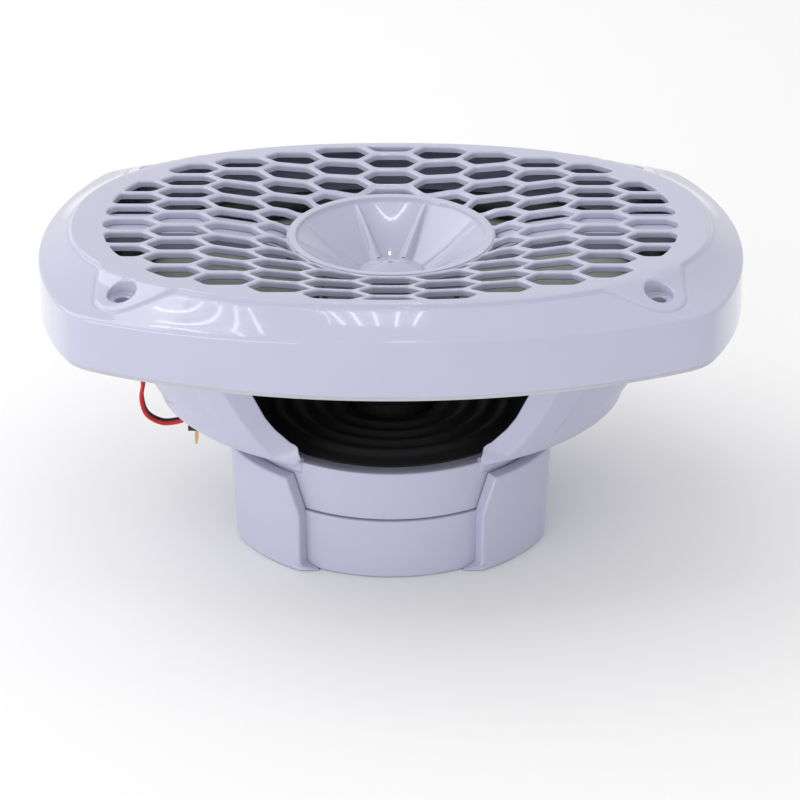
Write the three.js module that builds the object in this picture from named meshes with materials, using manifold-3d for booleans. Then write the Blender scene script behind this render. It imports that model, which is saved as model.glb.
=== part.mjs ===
// A 6x9-inch coaxial speaker standing on its magnet cover.
// Millimetres, +Z up, X along the long side of the oval, origin at the middle of the base.
import * as THREE from "three";
import { mergeVertices } from "three/addons/utils/BufferGeometryUtils.js";
import Module from "manifold-3d";

const wasm = await Module();
wasm.setup();

// ---- driving dimensions ----
const GAP = 0.3; // between pieces that touch
const RUNNING_GAP = 0.4; // between pieces that slide past each other
const OVAL_STEPS = 48;
const ROUND_STEPS = 36;
const SMALL_STEPS = 12;

// Grille: trim outline, raised panel and honeycomb
const TRIM = { length: 123.6, width: 89.2, endArc: 130, sideArc: 240, corner: 70, wall: 2.4 };
const TRIM_BOTTOM = 86.4;
const TRIM_SHOULDER = 106;
const SHOULDER_DROP = 1.45; // how much lower the shoulder is at the corners
const PANEL = { length: 112, width: 72.6, power: 2.25, thick: 2.7 };
const PANEL_TOP = 112.4;
const PANEL_STEP = 0.9; // the panel stands this far above the sloping band
const FIELD = { length: 100.2, width: 68.7, power: 2.3 };
const CELL = { pitchX: 18.32, pitchY: 11.62, rib: 2.4, flat: 0.335 };
const SMALLEST_CELL = 30; // square millimetres; smaller ones are left filled
const COLUMNS = 5; // honeycomb columns on each side of the middle one
const SEAT_RIM = 0.6; // the grille's ring round the horn's rim
const DISH = { radius: 69, slope: 0.157, collarFrom: 41.5, collarDrop: 1.5 };
const BRIDGE = { from: 36.9, to: 104, half: 8.5, thick: 2, side: 1.5, depth: 4 };
const EAR = { x: 88.8, y: 56.2, radius: 9, boss: 7, head: 4.9, bore: 2.6, sink: 6.2, droop: 0.36 };
const EAR_ROOTS = [[98, 41], [70.5, 59.5]]; // where each ear's outline leaves the panel's
const EAR_DROOP_FROM = 97;

// Horn and tweeter
const HORN = { rim: 36.2, flange: 0.5, neck: 34.6, lip: 33.4, top: 106.4, throat: 12.4, throatZ: 90.2, wall: 1.9 };
const FINS = 8;
const FIN = { thick: 1.3, rise: 2.2 };
const COLLAR = { inner: 20.8, outer: 25, bottom: 86.4 };
const PLUG = { radius: 11.4, edge: 92.2, top: 95.3, bottom: 91.4 };
const DOME = { radius: 12.6, edge: 85.7, top: 90.4, thick: 0.5 };

// Basket, from the flange down to the belt
const FLANGE = { bottom: TRIM_BOTTOM + GAP, thick: 3.4, inset: 3 };
const BOWL_WALL = 3;
const BOWL_TOP = { length: 104, width: 71.5, power: 2.3 };
const BOWL_WAIST = { length: 80.5, width: 58.9 }; // the outer edge of the bowl's low shelf
const GASKET = { thick: 1.8, inset: 1.4, bore: 106.5 };
const WINDOW_EDGE = [[31, 41], [34, 44], [42.3, 52.4], [49.9, 67.5], [55, 83.6]];
const BELT = { radius: 57.4, bottom: 23, top: 41, wall: 3 };
const FLOOR = { top: 33.4, bottom: 30 };
const SEAT = { inner: 46.6, top: 40 }; // the spider's ledge, inside the belt

// Magnet cover
const COVER = { radius: 58.2, top: 22.6, wall: 2.8, floor: 2.6, flat: 55.6, draft: 0.055 };
const PAD = { inner: 26, outer: 34 }; // the motor's seat on the cover's floor
const WING = { radius: 62.6, top: 36, innerX: 32, topX: 36.5 };

// Woofer motor and moving parts
const POLE = 14.9;
const FORMER = { inner: 15.3, outer: 15.8, bottom: 18.6, top: 47.4 };
const COIL = { inner: 16.1, outer: 17.1, bottom: 21, top: 33 };
const TOP_PLATE = { radius: 44, bottom: 24.2, top: FLOOR.bottom - GAP };
const MAGNET = { inner: 21, radius: 45, bottom: 11.6, top: 23.9 };
const BACK_PLATE = { radius: 43, bottom: 5.4, top: 11.3 };
const CONE = { neck: 16.2, neckZ: 46.2, length: 90, width: 58, rimZ: 88.4, thick: 1.2 };
const SURROUND = { outer: 107, roll: 5.5, thick: 0.9 };
const SPIDER = { inner: 16.2, outer: 51, thick: 0.7, z: SEAT.top + GAP, waves: 4, height: 1.6 };
const CAP = { radius: 20, rise: 6, thick: 0.8 };

// Terminals and leads
const BOARD = { x: -67, y: 8, z: 33.2, length: 13, width: 34, thick: 1.6, reach: 7 };
const LEAD_RADIUS = 0.75;
const LEAD_SPREAD = 1.25; // each lead's distance from the middle of the pair
const LEAD_X = -111.6; // where the pair goes down through the flange

// ---- outlines, as the distance from the middle at an angle ----
function ovalRadius(angle, { length, width, power }) {
  const along = Math.abs(Math.cos(angle) / length) ** power;
  const across = Math.abs(Math.sin(angle) / width) ** power;
  return (along + across) ** (-1 / power);
}

function arcReach(cosine, crown, radius) {
  const centre = crown - radius;
  return cosine * centre + Math.sqrt((cosine * centre) ** 2 + radius ** 2 - centre ** 2);
}

// Four arcs, with the corners between them rounded off.
function trimRadius(angle) {
  const end = arcReach(Math.abs(Math.cos(angle)), TRIM.length, TRIM.endArc);
  const side = arcReach(Math.abs(Math.sin(angle)), TRIM.width, TRIM.sideArc);
  return (end ** -TRIM.corner + side ** -TRIM.corner) ** (-1 / TRIM.corner);
}

const panelRadius = (angle) => ovalRadius(angle, PANEL);

function mix(a, b, share) {
  return a + (b - a) * Math.min(1, Math.max(0, share));
}

// Each oval piece is drawn as its section on the X axis; these give its radius at the other angles.
function trimWarp(radius, angle) {
  const wallInside = TRIM.length - TRIM.wall;
  const share = (wallInside - radius) / (wallInside - PANEL.length);
  return radius + mix(trimRadius(angle) - TRIM.length, panelRadius(angle) - PANEL.length, share);
}

// Round at the motor, an oval at the edge of the low shelf, and a fuller oval at the top.
function bowlWarp(radius, angle) {
  const { length, width } = BOWL_WAIST;
  if (radius <= BELT.radius) return radius;
  const low = (radius - BELT.radius) / (length - BELT.radius);
  const high = (radius - length) / (BOWL_TOP.length - length);
  const across = high > 0 ? mix(width, BOWL_TOP.width, high) : mix(BELT.radius, width, low);
  const outside = Math.max(0, radius - BOWL_TOP.length);
  const oval = { length: radius - outside, width: across, power: mix(2, BOWL_TOP.power, high) };
  return ovalRadius(angle, oval) + outside;
}

// The flange's inner edge follows the bowl and its outer edge the trim.
function flangeWarp(radius, angle) {
  const edge = TRIM.length - FLANGE.inset;
  const share = (radius - BOWL_TOP.length) / (edge - BOWL_TOP.length);
  const outer = trimRadius(angle) - TRIM.length + radius;
  return share <= 0 ? bowlWarp(radius, angle) : mix(bowlWarp(radius, angle), outer, share);
}

// Round at the voice coil, and the cone's oval at its rim.
function coneWarp(radius, angle) {
  const share = (radius - CONE.neck) / (CONE.length - CONE.neck);
  const oval = ovalRadius(angle, { length: CONE.length, width: CONE.width, power: 2.15 });
  const outside = Math.max(0, radius - CONE.length);
  return (radius - outside) * mix(1, oval / CONE.length, share) + outside;
}

// The surround goes from the cone's rim to the basket's oval.
function surroundWarp(radius, angle) {
  const share = (radius - CONE.length) / (BOWL_TOP.length - CONE.length);
  return mix(coneWarp(radius, angle), bowlWarp(radius, angle), share);
}

// ---- solids ----
// A closed three.js geometry as a manifold-3d solid that faces out.
function solid(geometry) {
  const bare = geometry.clone();
  bare.deleteAttribute("normal");
  bare.deleteAttribute("uv");
  const merged = mergeVertices(bare, 1e-4);
  const corners = merged.index.array;
  const faces = [];
  for (let i = 0; i < corners.length; i += 3) {
    const [a, b, c] = corners.slice(i, i + 3);
    if (a !== b && b !== c && a !== c) faces.push([a, b, c]);
  }
  const build = (list) =>
    new wasm.Manifold(
      new wasm.Mesh({
        numProp: 3,
        vertProperties: merged.attributes.position.array,
        triVerts: new Uint32Array(list.flat()),
      }),
    );
  const made = build(faces);
  return made.volume() > 0 ? made : build(faces.map(([a, b, c]) => [a, c, b]));
}

// A profile of [radius, z] points turned about Z. A profile off the axis is closed back to its start.
function turned(profile, steps = ROUND_STEPS, warp = null) {
  const closed = profile[0][0] === 0 ? profile : [...profile, profile[0]];
  const points = closed.map(([radius, z]) => new THREE.Vector2(radius, z));
  const geometry = new THREE.LatheGeometry(points, steps).rotateX(Math.PI / 2);
  if (warp) {
    const at = geometry.attributes.position;
    for (let i = 0; i < at.count; i++) {
      const radius = Math.hypot(at.getX(i), at.getY(i));
      const angle = Math.atan2(at.getY(i), at.getX(i));
      const scale = radius ? warp(radius, angle, at.getZ(i)) / radius : 1;
      at.setXY(i, at.getX(i) * scale, at.getY(i) * scale);
    }
  }
  return solid(geometry);
}

const ring = (inner, outer, bottom, top, steps, warp) =>
  turned([[inner, bottom], [outer, bottom], [outer, top], [inner, top]], steps, warp);

const disc = (radius, bottom, top, steps, warp) =>
  turned([[0, bottom], [radius, bottom], [radius, top], [0, top]], steps, warp);

function box(x, y, z, cx, cy, cz) {
  return solid(new THREE.BoxGeometry(x, y, z)).translate([cx, cy, cz]);
}

function extruded(points, bottom, top, holes = []) {
  const toVectors = (list) => list.map(([x, y]) => new THREE.Vector2(x, y));
  const shape = new THREE.Shape(toVectors(points));
  shape.holes = holes.map((hole) => new THREE.Path(toVectors(hole)));
  const options = { depth: top - bottom, bevelEnabled: false };
  return solid(new THREE.ExtrudeGeometry(shape, options)).translate([0, 0, bottom]);
}

// ---- grille ----
// The part of a convex outline where x * nx + y * ny is at most the limit.
function clipped(points, nx, ny, limit) {
  const side = ([x, y]) => x * nx + y * ny - limit;
  return points.flatMap((here, i) => {
    const next = points[(i + 1) % points.length];
    const [a, b] = [side(here), side(next)];
    const kept = a <= 0 ? [here] : [];
    if (a < 0 !== b < 0 && a !== b) {
      const t = a / (a - b);
      kept.push([here[0] + (next[0] - here[0]) * t, here[1] + (next[1] - here[1]) * t]);
    }
    return kept;
  });
}

function area(points) {
  return Math.abs(THREE.ShapeUtils.area(points.map(([x, y]) => new THREE.Vector2(x, y))));
}

function cellAt(cx, cy) {
  const { pitchX, pitchY, rib, flat } = CELL;
  const flatHalf = pitchX * flat;
  const tip = pitchX - flatHalf;
  const slant = Math.hypot(tip - flatHalf, pitchY / 2);
  const [nx, ny] = [pitchY / 2 / slant, (tip - flatHalf) / slant];
  let cell = [[-tip, -pitchY], [tip, -pitchY], [tip, pitchY], [-tip, pitchY]];
  for (const sy of [-1, 1]) {
    cell = clipped(cell, 0, sy, pitchY / 2 - rib / 2);
    for (const sx of [-1, 1]) cell = clipped(cell, sx * nx, sy * ny, tip * nx - rib / 2);
  }
  return cell.map(([x, y]) => [x + cx, y + cy]);
}

// Trims a cell to the honeycomb's oval and to the horn's rim.
function trimmed(cell, cx, cy) {
  let kept = cell;
  for (let i = 0; i < 36; i++) {
    const angle = (i * Math.PI) / 18;
    const reach = ovalRadius(angle, FIELD);
    const [x, y] = [reach * Math.cos(angle), reach * Math.sin(angle)];
    const nx = (Math.sign(x) * Math.abs(x) ** (FIELD.power - 1)) / FIELD.length ** FIELD.power;
    const ny = (Math.sign(y) * Math.abs(y) ** (FIELD.power - 1)) / FIELD.width ** FIELD.power;
    kept = clipped(kept, nx, ny, nx * x + ny * y);
  }
  const away = Math.hypot(cx, cy) || 1;
  return clipped(kept, -cx / away, -cy / away, -(HORN.rim + SEAT_RIM));
}

function honeycomb() {
  const cells = [];
  for (let column = -COLUMNS; column <= COLUMNS; column++) {
    const shift = column % 2 ? 0.5 : 0;
    for (let row = -8; row <= 8; row++) {
      const [cx, cy] = [column * CELL.pitchX, (row + shift) * CELL.pitchY];
      const cell = trimmed(cellAt(cx, cy), cx, cy);
      if (cell.length > 2 && area(cell) > SMALLEST_CELL) cells.push(cell);
    }
  }
  return cells;
}

// The dish's slope, with a last small step down to the horn's rim.
function dishDrop(radius) {
  const collar = mix(0, DISH.collarDrop, (DISH.collarFrom - radius) / (DISH.collarFrom - HORN.rim));
  return DISH.slope * Math.max(0, DISH.radius - radius) + collar;
}

// The panel with its cells, dished towards the horn.
function panelPlate() {
  const outline = [];
  for (let i = 0; i < OVAL_STEPS; i++) {
    const angle = (i * 2 * Math.PI) / OVAL_STEPS;
    const radius = panelRadius(angle) - 2;
    outline.push([radius * Math.cos(angle), radius * Math.sin(angle)]);
  }
  const horn = [];
  for (let i = 0; i < ROUND_STEPS; i++) {
    const angle = (i * 2 * Math.PI) / ROUND_STEPS;
    const radius = HORN.neck + 1;
    horn.push([radius * Math.cos(angle), radius * Math.sin(angle)]);
  }
  const flat = extruded(outline, PANEL_TOP - PANEL.thick, PANEL_TOP, [horn, ...honeycomb()]);
  return flat.warp((vertex) => {
    vertex[2] -= dishDrop(Math.hypot(vertex[0], vertex[1]));
  });
}

// The channel under the honeycomb, from the horn's seat out to one end of the trim, that covers the leads.
function bridge(side) {
  const { from, to, half, thick, depth } = BRIDGE;
  const stations = [from, DISH.collarFrom, DISH.radius, to];
  const line = (lift) => stations.map((x) => [x * side, PANEL_TOP - PANEL.thick - dishDrop(x) + lift]);
  const bar = (bottom, low, high) =>
    extruded([...line(GAP), ...line(bottom).reverse()], low, high).rotate([90, 0, 0]);
  const wall = bar(-thick - depth, half - BRIDGE.side, half);
  return bar(-thick, -half, half).add(wall).add(wall.mirror([0, 1, 0]));
}

// The trim's outer ring. Its shoulder is lower towards the corners.
function trimRing() {
  const { length, wall } = TRIM;
  const inner = PANEL.length - 9;
  const crease = PANEL.length + 0.6;
  const level = turned(
    [
      [length, TRIM_BOTTOM],
      [length - 0.4, TRIM_SHOULDER - 1],
      [length - 1.4, TRIM_SHOULDER + 0.2],
      [crease, PANEL_TOP - PANEL_STEP],
      [PANEL.length - 0.6, PANEL_TOP],
      [inner, PANEL_TOP],
      [inner, PANEL_TOP - 2.6],
      [crease - 1, PANEL_TOP - 3.4],
      [length - wall - 0.4, TRIM_SHOULDER - 1.6],
      [length - wall, TRIM_BOTTOM],
    ],
    OVAL_STEPS,
    trimWarp,
  );
  return level.warp((vertex) => {
    const [x, y, z] = vertex;
    const angle = Math.atan2(y, x);
    const panel = panelRadius(angle);
    const outside = (Math.hypot(x, y) - panel) / (trimRadius(angle) - panel);
    const corner = mix(0, 1, (Math.abs(x) - 20) / 70);
    if (z > TRIM_BOTTOM + 1) vertex[2] -= SHOULDER_DROP * corner * mix(0, 1, outside);
  });
}

// The raised lobe round one screw hole, sloping down a little towards the corner of the trim.
function ear(sx, sy) {
  const [along, across] = EAR_ROOTS;
  const arc = Array.from({ length: 9 }, (_, i) => {
    const angle = ((-12 + 15.5 * i) * Math.PI) / 180;
    return [EAR.x + EAR.radius * Math.cos(angle), EAR.y + EAR.radius * Math.sin(angle)];
  });
  const outline = [along, ...arc, across, [72, 44]].map(([x, y]) => [x * sx, y * sy]);
  return extruded(outline, TRIM_SHOULDER - 2, PANEL_TOP - 0.05).warp((vertex) => {
    vertex[2] -= EAR.droop * Math.max(0, Math.hypot(vertex[0], vertex[1]) - EAR_DROOP_FROM);
  });
}

function grille() {
  let body = trimRing().add(panelPlate()).add(bridge(1)).add(bridge(-1));
  const bossBottom = FLANGE.bottom + FLANGE.thick + GAP;
  for (const [x, y] of corners(EAR.x, EAR.y)) {
    body = body.add(ear(Math.sign(x), Math.sign(y)));
    body = body.add(disc(EAR.boss, bossBottom, TRIM_SHOULDER, SMALL_STEPS).translate([x, y, 0]));
    const sink = disc(EAR.head, PANEL_TOP - EAR.sink, PANEL_TOP + 2, SMALL_STEPS);
    const bore = disc(EAR.bore, bossBottom - 2, PANEL_TOP, SMALL_STEPS);
    body = body.subtract(sink.add(bore).translate([x, y, 0]));
  }
  const { rim, flange, neck, top } = HORN;
  const seat = ring(neck + GAP, rim + 2 * SEAT_RIM, top - 4, top - flange, ROUND_STEPS);
  const recess = disc(rim + GAP, top - flange - GAP, PANEL_TOP, ROUND_STEPS);
  return body.add(seat).subtract(recess);
}

function corners(x, y) {
  return [[x, y], [-x, y], [-x, -y], [x, -y]];
}

// ---- horn and tweeter ----
function hornZ(radius) {
  const share = (radius - HORN.throat) / (HORN.lip - HORN.throat);
  return HORN.throatZ + (HORN.top - 1.2 - HORN.throatZ) * share ** 1.12;
}

function hornBody() {
  const { rim, flange, neck, lip, top, throat, wall } = HORN;
  const steps = 5;
  const inside = [];
  for (let i = 0; i <= steps; i++) {
    const radius = throat + ((lip - throat) * i) / steps;
    inside.push([radius, hornZ(radius)]);
  }
  return turned([
    ...inside,
    [lip + 0.4, top - 0.3],
    [lip + 1.1, top],
    [rim - 0.2, top],
    [rim, top - flange],
    [neck, top - flange],
    [neck, hornZ(lip) - wall],
    [COLLAR.outer, hornZ(COLLAR.outer) - wall],
    [COLLAR.outer, COLLAR.bottom],
    [COLLAR.inner, COLLAR.bottom],
    [COLLAR.inner, hornZ(COLLAR.inner) - wall],
    [throat, HORN.throatZ - wall],
  ]);
}

// One radial fin, drawn as its side view and turned upright.
function fin(angle) {
  const inner = PLUG.radius + GAP;
  const outer = HORN.lip - 0.8;
  const side = [
    [inner, HORN.throatZ - 0.6],
    [inner, hornZ(HORN.throat) + FIN.rise],
    [outer, hornZ(outer) + 0.2],
    [outer, hornZ(outer) - 1],
    [HORN.throat + 3, hornZ(HORN.throat + 3) - 0.6],
  ];
  return extruded(side, -FIN.thick / 2, FIN.thick / 2)
    .rotate([90, 0, 0])
    .rotate([0, 0, angle]);
}

function tweeterHorn() {
  let body = hornBody();
  for (let i = 0; i < FINS; i++) body = body.add(fin(((i + 0.5) * 360) / FINS));
  return body;
}

function phasePlug() {
  return turned(
    [
      [0, PLUG.bottom],
      [PLUG.radius - 0.8, PLUG.bottom],
      [PLUG.radius, PLUG.edge],
      [1.8, PLUG.top],
      [1.2, PLUG.top - 0.1],
      [0, PLUG.top - 0.7],
    ],
    ROUND_STEPS,
  );
}

// A thin cap: a spherical shell over a round edge.
function cap(radius, edge, rise, thick, steps) {
  const curve = (r, lift) => edge + lift + rise * (1 - (r / radius) ** 2);
  const rings = [1, 0.8, 0.55, 0.3, 0];
  const over = rings.map((share) => [radius * share, curve(radius * share, thick)]);
  const under = rings.map((share) => [(radius - thick) * share, curve(radius * share, 0)]).reverse();
  return turned([...under, ...over], steps);
}

const HOUSING = { outer: 20.4, wall: 1.8, bottom: 68.6, floor: 1.8, flange: 25, flangeThick: 2 };
const YOKE = { outer: 17.6, inner: 13.7, bottom: HOUSING.bottom + HOUSING.floor + GAP, floor: 2.6, top: 84 };
const TWEETER_MAGNET = { radius: 11, bottom: YOKE.bottom + YOKE.floor + GAP, height: 5.4 };
const POLE_PLATE = { radius: 11.6, thick: 3.2 };
POLE_PLATE.bottom = TWEETER_MAGNET.bottom + TWEETER_MAGNET.height + GAP;
const TWEETER_COIL = { inner: 12.1, outer: 13, bottom: POLE_PLATE.bottom + 0.4, top: DOME.edge - GAP };
const HOUSING_TOP = COLLAR.bottom - GAP;
const TWEETER_SCREWS = 3;
const TWEETER_SCREW = { circle: 22.8, radius: 1, head: 1.8, headHeight: 1.4, length: 5 };

function tweeterScrewAt(index, body) {
  const angle = (index * 2 * Math.PI) / TWEETER_SCREWS + Math.PI / 6;
  return body.translate([
    TWEETER_SCREW.circle * Math.cos(angle),
    TWEETER_SCREW.circle * Math.sin(angle),
    0,
  ]);
}

function tweeterHousing() {
  const { outer, wall, bottom, floor, flange, flangeThick } = HOUSING;
  let body = turned([
    [0, bottom],
    [outer - 1, bottom],
    [outer, bottom + 1],
    [outer, HOUSING_TOP - flangeThick],
    [flange, HOUSING_TOP - flangeThick],
    [flange, HOUSING_TOP],
    [outer - wall, HOUSING_TOP],
    [outer - wall, bottom + floor],
    [0, bottom + floor],
  ]);
  const clearance = disc(TWEETER_SCREW.radius + GAP, bottom, HOUSING_TOP + 1, 12);
  for (let i = 0; i < TWEETER_SCREWS; i++) body = body.subtract(tweeterScrewAt(i, clearance));
  return body;
}

function tweeterScrew(index) {
  const headTop = HOUSING_TOP - HOUSING.flangeThick - 0.1;
  const { radius, head, headHeight, length } = TWEETER_SCREW;
  const body = turned(
    [
      [0, headTop - headHeight],
      [head, headTop - headHeight],
      [head, headTop],
      [radius, headTop],
      [radius, headTop + length],
      [0, headTop + length],
    ],
    12,
  );
  return tweeterScrewAt(index, body);
}

function drilledHorn() {
  let body = tweeterHorn();
  const pilot = disc(TWEETER_SCREW.radius + 0.1, COLLAR.bottom - 1, COLLAR.bottom + 4.4, 12);
  for (let i = 0; i < TWEETER_SCREWS; i++) body = body.subtract(tweeterScrewAt(i, pilot));
  return body;
}

// ---- basket ----
// The bowl's section at the ends of the oval: belt, shoulder, then the steep wall to the flange.
const BOWL = [
  [BELT.radius, BELT.top - 4],
  [60, 40],
  [70, 41.4],
  [77.5, 42.6],
  [81.6, 45.4],
  [84.5, 49.5],
  [88.4, 56],
  [97, 74],
  [BOWL_TOP.length, FLANGE.bottom],
];

function bowlShell() {
  const inside = BOWL.map(([radius, z]) => [radius - BOWL_WALL, z + (z < 60 ? 2.4 : 0)]).reverse();
  const top = FLANGE.bottom + FLANGE.thick;
  const upper = [[BOWL_TOP.length, top - 1], [BOWL_TOP.length - BOWL_WALL, top - 1]];
  return turned([...BOWL, ...upper, ...inside], OVAL_STEPS, bowlWarp);
}

function windowCut(side) {
  const left = WINDOW_EDGE.map(([x, z]) => [-x, z]).reverse();
  const outline = [...WINDOW_EDGE, ...left];
  const depth = 70;
  const inner = 30;
  return extruded(outline, 0, depth)
    .rotate([90, 0, 0])
    .translate([0, side > 0 ? inner + depth : -inner, 0]);
}

function motorScrewAt(index, body) {
  const angle = (index * Math.PI) / 2 + Math.PI / 4;
  return body.translate([MOTOR_SCREW.circle * Math.cos(angle), MOTOR_SCREW.circle * Math.sin(angle), 0]);
}

const MOTOR_SCREW = { circle: 31, radius: 2, head: 3.6, headHeight: 2.2, reach: 7.2 };

function basket() {
  const edge = TRIM.length - FLANGE.inset;
  const flange = ring(
    BOWL_TOP.length - BOWL_WALL,
    edge,
    FLANGE.bottom,
    FLANGE.bottom + FLANGE.thick,
    OVAL_STEPS,
    flangeWarp,
  );
  let body = bowlShell().subtract(windowCut(1)).subtract(windowCut(-1)).add(flange);
  const { radius, bottom, top, wall } = BELT;
  const outsideFlat = COVER.wall + RUNNING_GAP;
  const hollow = disc(radius - wall, 0, top + 1, OVAL_STEPS).intersect(betweenFlats(outsideFlat + wall));
  const floor = ring(COIL.outer + 1.2, radius - 1, FLOOR.bottom, FLOOR.top, ROUND_STEPS);
  const seat = ring(SEAT.inner, radius - 1, FLOOR.bottom, SEAT.top, ROUND_STEPS);
  const belt = disc(radius, bottom, top, OVAL_STEPS).subtract(hollow).add(floor).add(seat);
  const join = ring(SPIDER.outer + 0.8, radius, WING.top + 0.6, top, OVAL_STEPS);
  body = body.add(belt.intersect(betweenFlats(outsideFlat))).add(join);
  const bore = disc(MOTOR_SCREW.radius + GAP, FLOOR.bottom - 1, FLOOR.top + 1, 12);
  for (let i = 0; i < 4; i++) body = body.subtract(motorScrewAt(i, bore));
  const mountBore = disc(EAR.bore, FLANGE.bottom - 1, FLANGE.bottom + FLANGE.thick + 1, SMALL_STEPS);
  for (const [x, y] of corners(EAR.x, EAR.y)) body = body.subtract(mountBore.translate([x, y, 0]));
  return body.subtract(leadSlot());
}

// The slot in the flange and gasket that lets the tweeter leads through.
function leadSlot() {
  return box(3.6, 6.4, 16, LEAD_X, 0, FLANGE.bottom);
}

function mountingGasket() {
  const top = FLANGE.bottom - GAP;
  const body = ring(
    GASKET.bore,
    TRIM.length - GASKET.inset,
    top - GASKET.thick,
    top,
    OVAL_STEPS,
    flangeWarp,
  );
  let cut = body.subtract(leadSlot());
  const bore = disc(EAR.bore, top - GASKET.thick - 1, top + 1, SMALL_STEPS);
  for (const [x, y] of corners(EAR.x, EAR.y)) cut = cut.subtract(bore.translate([x, y, 0]));
  return cut;
}

// ---- magnet cover ----
// The space between the flat sides of the cover, which lean out a little towards the top.
function betweenFlats(inset) {
  const height = BELT.top;
  const low = COVER.flat - inset;
  const high = low + COVER.draft * height;
  const outline = [[-low, 0], [low, 0], [high, height], [-high, height]];
  const reach = WING.radius + 4;
  return extruded(outline, -reach, reach).rotate([90, 0, 0]);
}

function wingOutline() {
  const { radius, innerX, topX } = WING;
  const reach = Math.sqrt(radius ** 2 - innerX ** 2) + 4;
  return { innerX, topX, reach };
}

// Everything beyond the wings' inner edges, on one side; the edges slant outwards above the belt line.
function wingSide(side) {
  const { innerX, topX, reach } = wingOutline();
  const outline = [
    [innerX, 0],
    [WING.radius + 4, 0],
    [WING.radius + 4, WING.top],
    [topX, WING.top],
    [innerX + 1, COVER.top + 1],
    [innerX, COVER.top - 2],
  ].map(([x, z]) => [x * side, z]);
  return extruded(outline, -reach, reach).rotate([90, 0, 0]);
}

function magnetCover() {
  const { radius, top, wall, floor } = COVER;
  const cup = disc(radius, 0, top, OVAL_STEPS);
  const wings = disc(WING.radius, 0, WING.top, OVAL_STEPS);
  const pair = wings.intersect(wingSide(1)).add(wings.intersect(wingSide(-1)));
  const inside = disc(radius - wall, floor, top + 1, OVAL_STEPS);
  const aboveBelt = disc(BELT.radius + RUNNING_GAP, top, WING.top + 1, OVAL_STEPS);
  const hollow = inside.add(aboveBelt).intersect(betweenFlats(wall));
  const pad = ring(PAD.inner, PAD.outer, floor - 0.5, BACK_PLATE.bottom - GAP, ROUND_STEPS);
  return cup.add(pair).intersect(betweenFlats(0)).subtract(hollow).add(pad);
}

// ---- woofer motor and moving parts ----
function backPlate() {
  const { radius, bottom, top } = BACK_PLATE;
  const poleTop = TOP_PLATE.top;
  return turned([
    [0, bottom],
    [radius - 1, bottom],
    [radius, bottom + 1],
    [radius, top],
    [POLE, top],
    [POLE, poleTop - 0.6],
    [POLE - 0.6, poleTop],
    [0, poleTop],
  ]);
}

function topPlate() {
  const { radius, bottom, top } = TOP_PLATE;
  let body = ring(COIL.outer + RUNNING_GAP, radius, bottom, top, ROUND_STEPS);
  const bore = disc(MOTOR_SCREW.radius + 0.1, top - 4.6, top + 1, 12);
  for (let i = 0; i < 4; i++) body = body.subtract(motorScrewAt(i, bore));
  return body;
}

function motorScrew(index) {
  const { radius, head, headHeight, reach } = MOTOR_SCREW;
  const seatZ = FLOOR.top + 0.1;
  const body = turned(
    [
      [0, seatZ - reach],
      [radius, seatZ - reach],
      [radius, seatZ],
      [head, seatZ],
      [head - 0.5, seatZ + headHeight],
      [0, seatZ + headHeight],
    ],
    12,
  );
  return motorScrewAt(index, body);
}

function coneZ(radius) {
  const share = (radius - CONE.neck) / (CONE.length - CONE.neck);
  return CONE.neckZ + (CONE.rimZ - CONE.neckZ) * share ** 0.9;
}

function cone() {
  const radii = [0, 0.12, 0.35, 0.65, 1].map((share) => mix(CONE.neck, CONE.length, share));
  const under = radii.map((radius) => [radius, coneZ(radius)]);
  const over = radii.map((radius) => [radius, coneZ(radius) + CONE.thick]).reverse();
  return turned([...under, ...over], OVAL_STEPS, coneWarp);
}

function surround() {
  const { outer, roll, thick } = SURROUND;
  const seatZ = FLANGE.bottom + FLANGE.thick + GAP;
  const inner = CONE.length - 3.4;
  const rollIn = CONE.length + 1;
  const rollOut = BOWL_TOP.length - BOWL_WALL - 0.5;
  const middle = (rollIn + rollOut) / 2;
  const half = (rollOut - rollIn) / 2;
  const arc = (grow) =>
    [0, 0.25, 0.5, 0.75, 1].map((share) => {
      const turn = Math.PI * (1 - share);
      return [
        middle + (half + grow) * Math.cos(turn),
        seatZ + (roll + grow) * Math.sin(turn),
      ];
    });
  const lipZ = coneZ(CONE.length) + CONE.thick + GAP;
  return turned(
    [
      [inner, lipZ],
      ...arc(0),
      [outer, seatZ],
      [outer, seatZ + thick],
      ...arc(thick).reverse(),
      [inner, lipZ + thick],
    ],
    OVAL_STEPS,
    surroundWarp,
  );
}

function spider() {
  const { inner, outer, thick, z, waves, height } = SPIDER;
  const flatFrom = SEAT.inner - 1;
  const count = waves * 2;
  const middle = Array.from({ length: count + 1 }, (_, i) => {
    const radius = mix(inner + 2, flatFrom, i / count);
    return [radius, z + (i % 2 ? height : 0)];
  });
  const line = [[inner, z], ...middle, [outer, z]];
  const over = line.map(([radius, at]) => [radius, at + thick]).reverse();
  return turned([...line, ...over], 32);
}

// ---- terminals and leads ----
function terminalBoard() {
  const { x, y, z, length, width, thick } = BOARD;
  const plate = box(length, width, thick, x, y, z);
  const stem = box(9, 10, BOARD.reach, x - 0.5, y - 6, z + BOARD.reach / 2);
  return plate.add(stem);
}

// A blade that sits on the board and bends down past its outer edge, with a hole for a solder joint.
function terminal(y, width) {
  const { x, z, length, thick } = BOARD;
  const top = z - thick / 2 - GAP;
  const blade = box(length - 2, width, 0.8, x + 1, y, top - 0.4);
  const tab = box(0.8, width, 7, x - length / 2 + 2.4, y, top - 3.6);
  const hole = disc(0.9, -2, 2, 12).rotate([0, 90, 0]).translate([x - length / 2 + 2.4, y, top - 4.8]);
  return blade.add(tab).subtract(hole);
}

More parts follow.
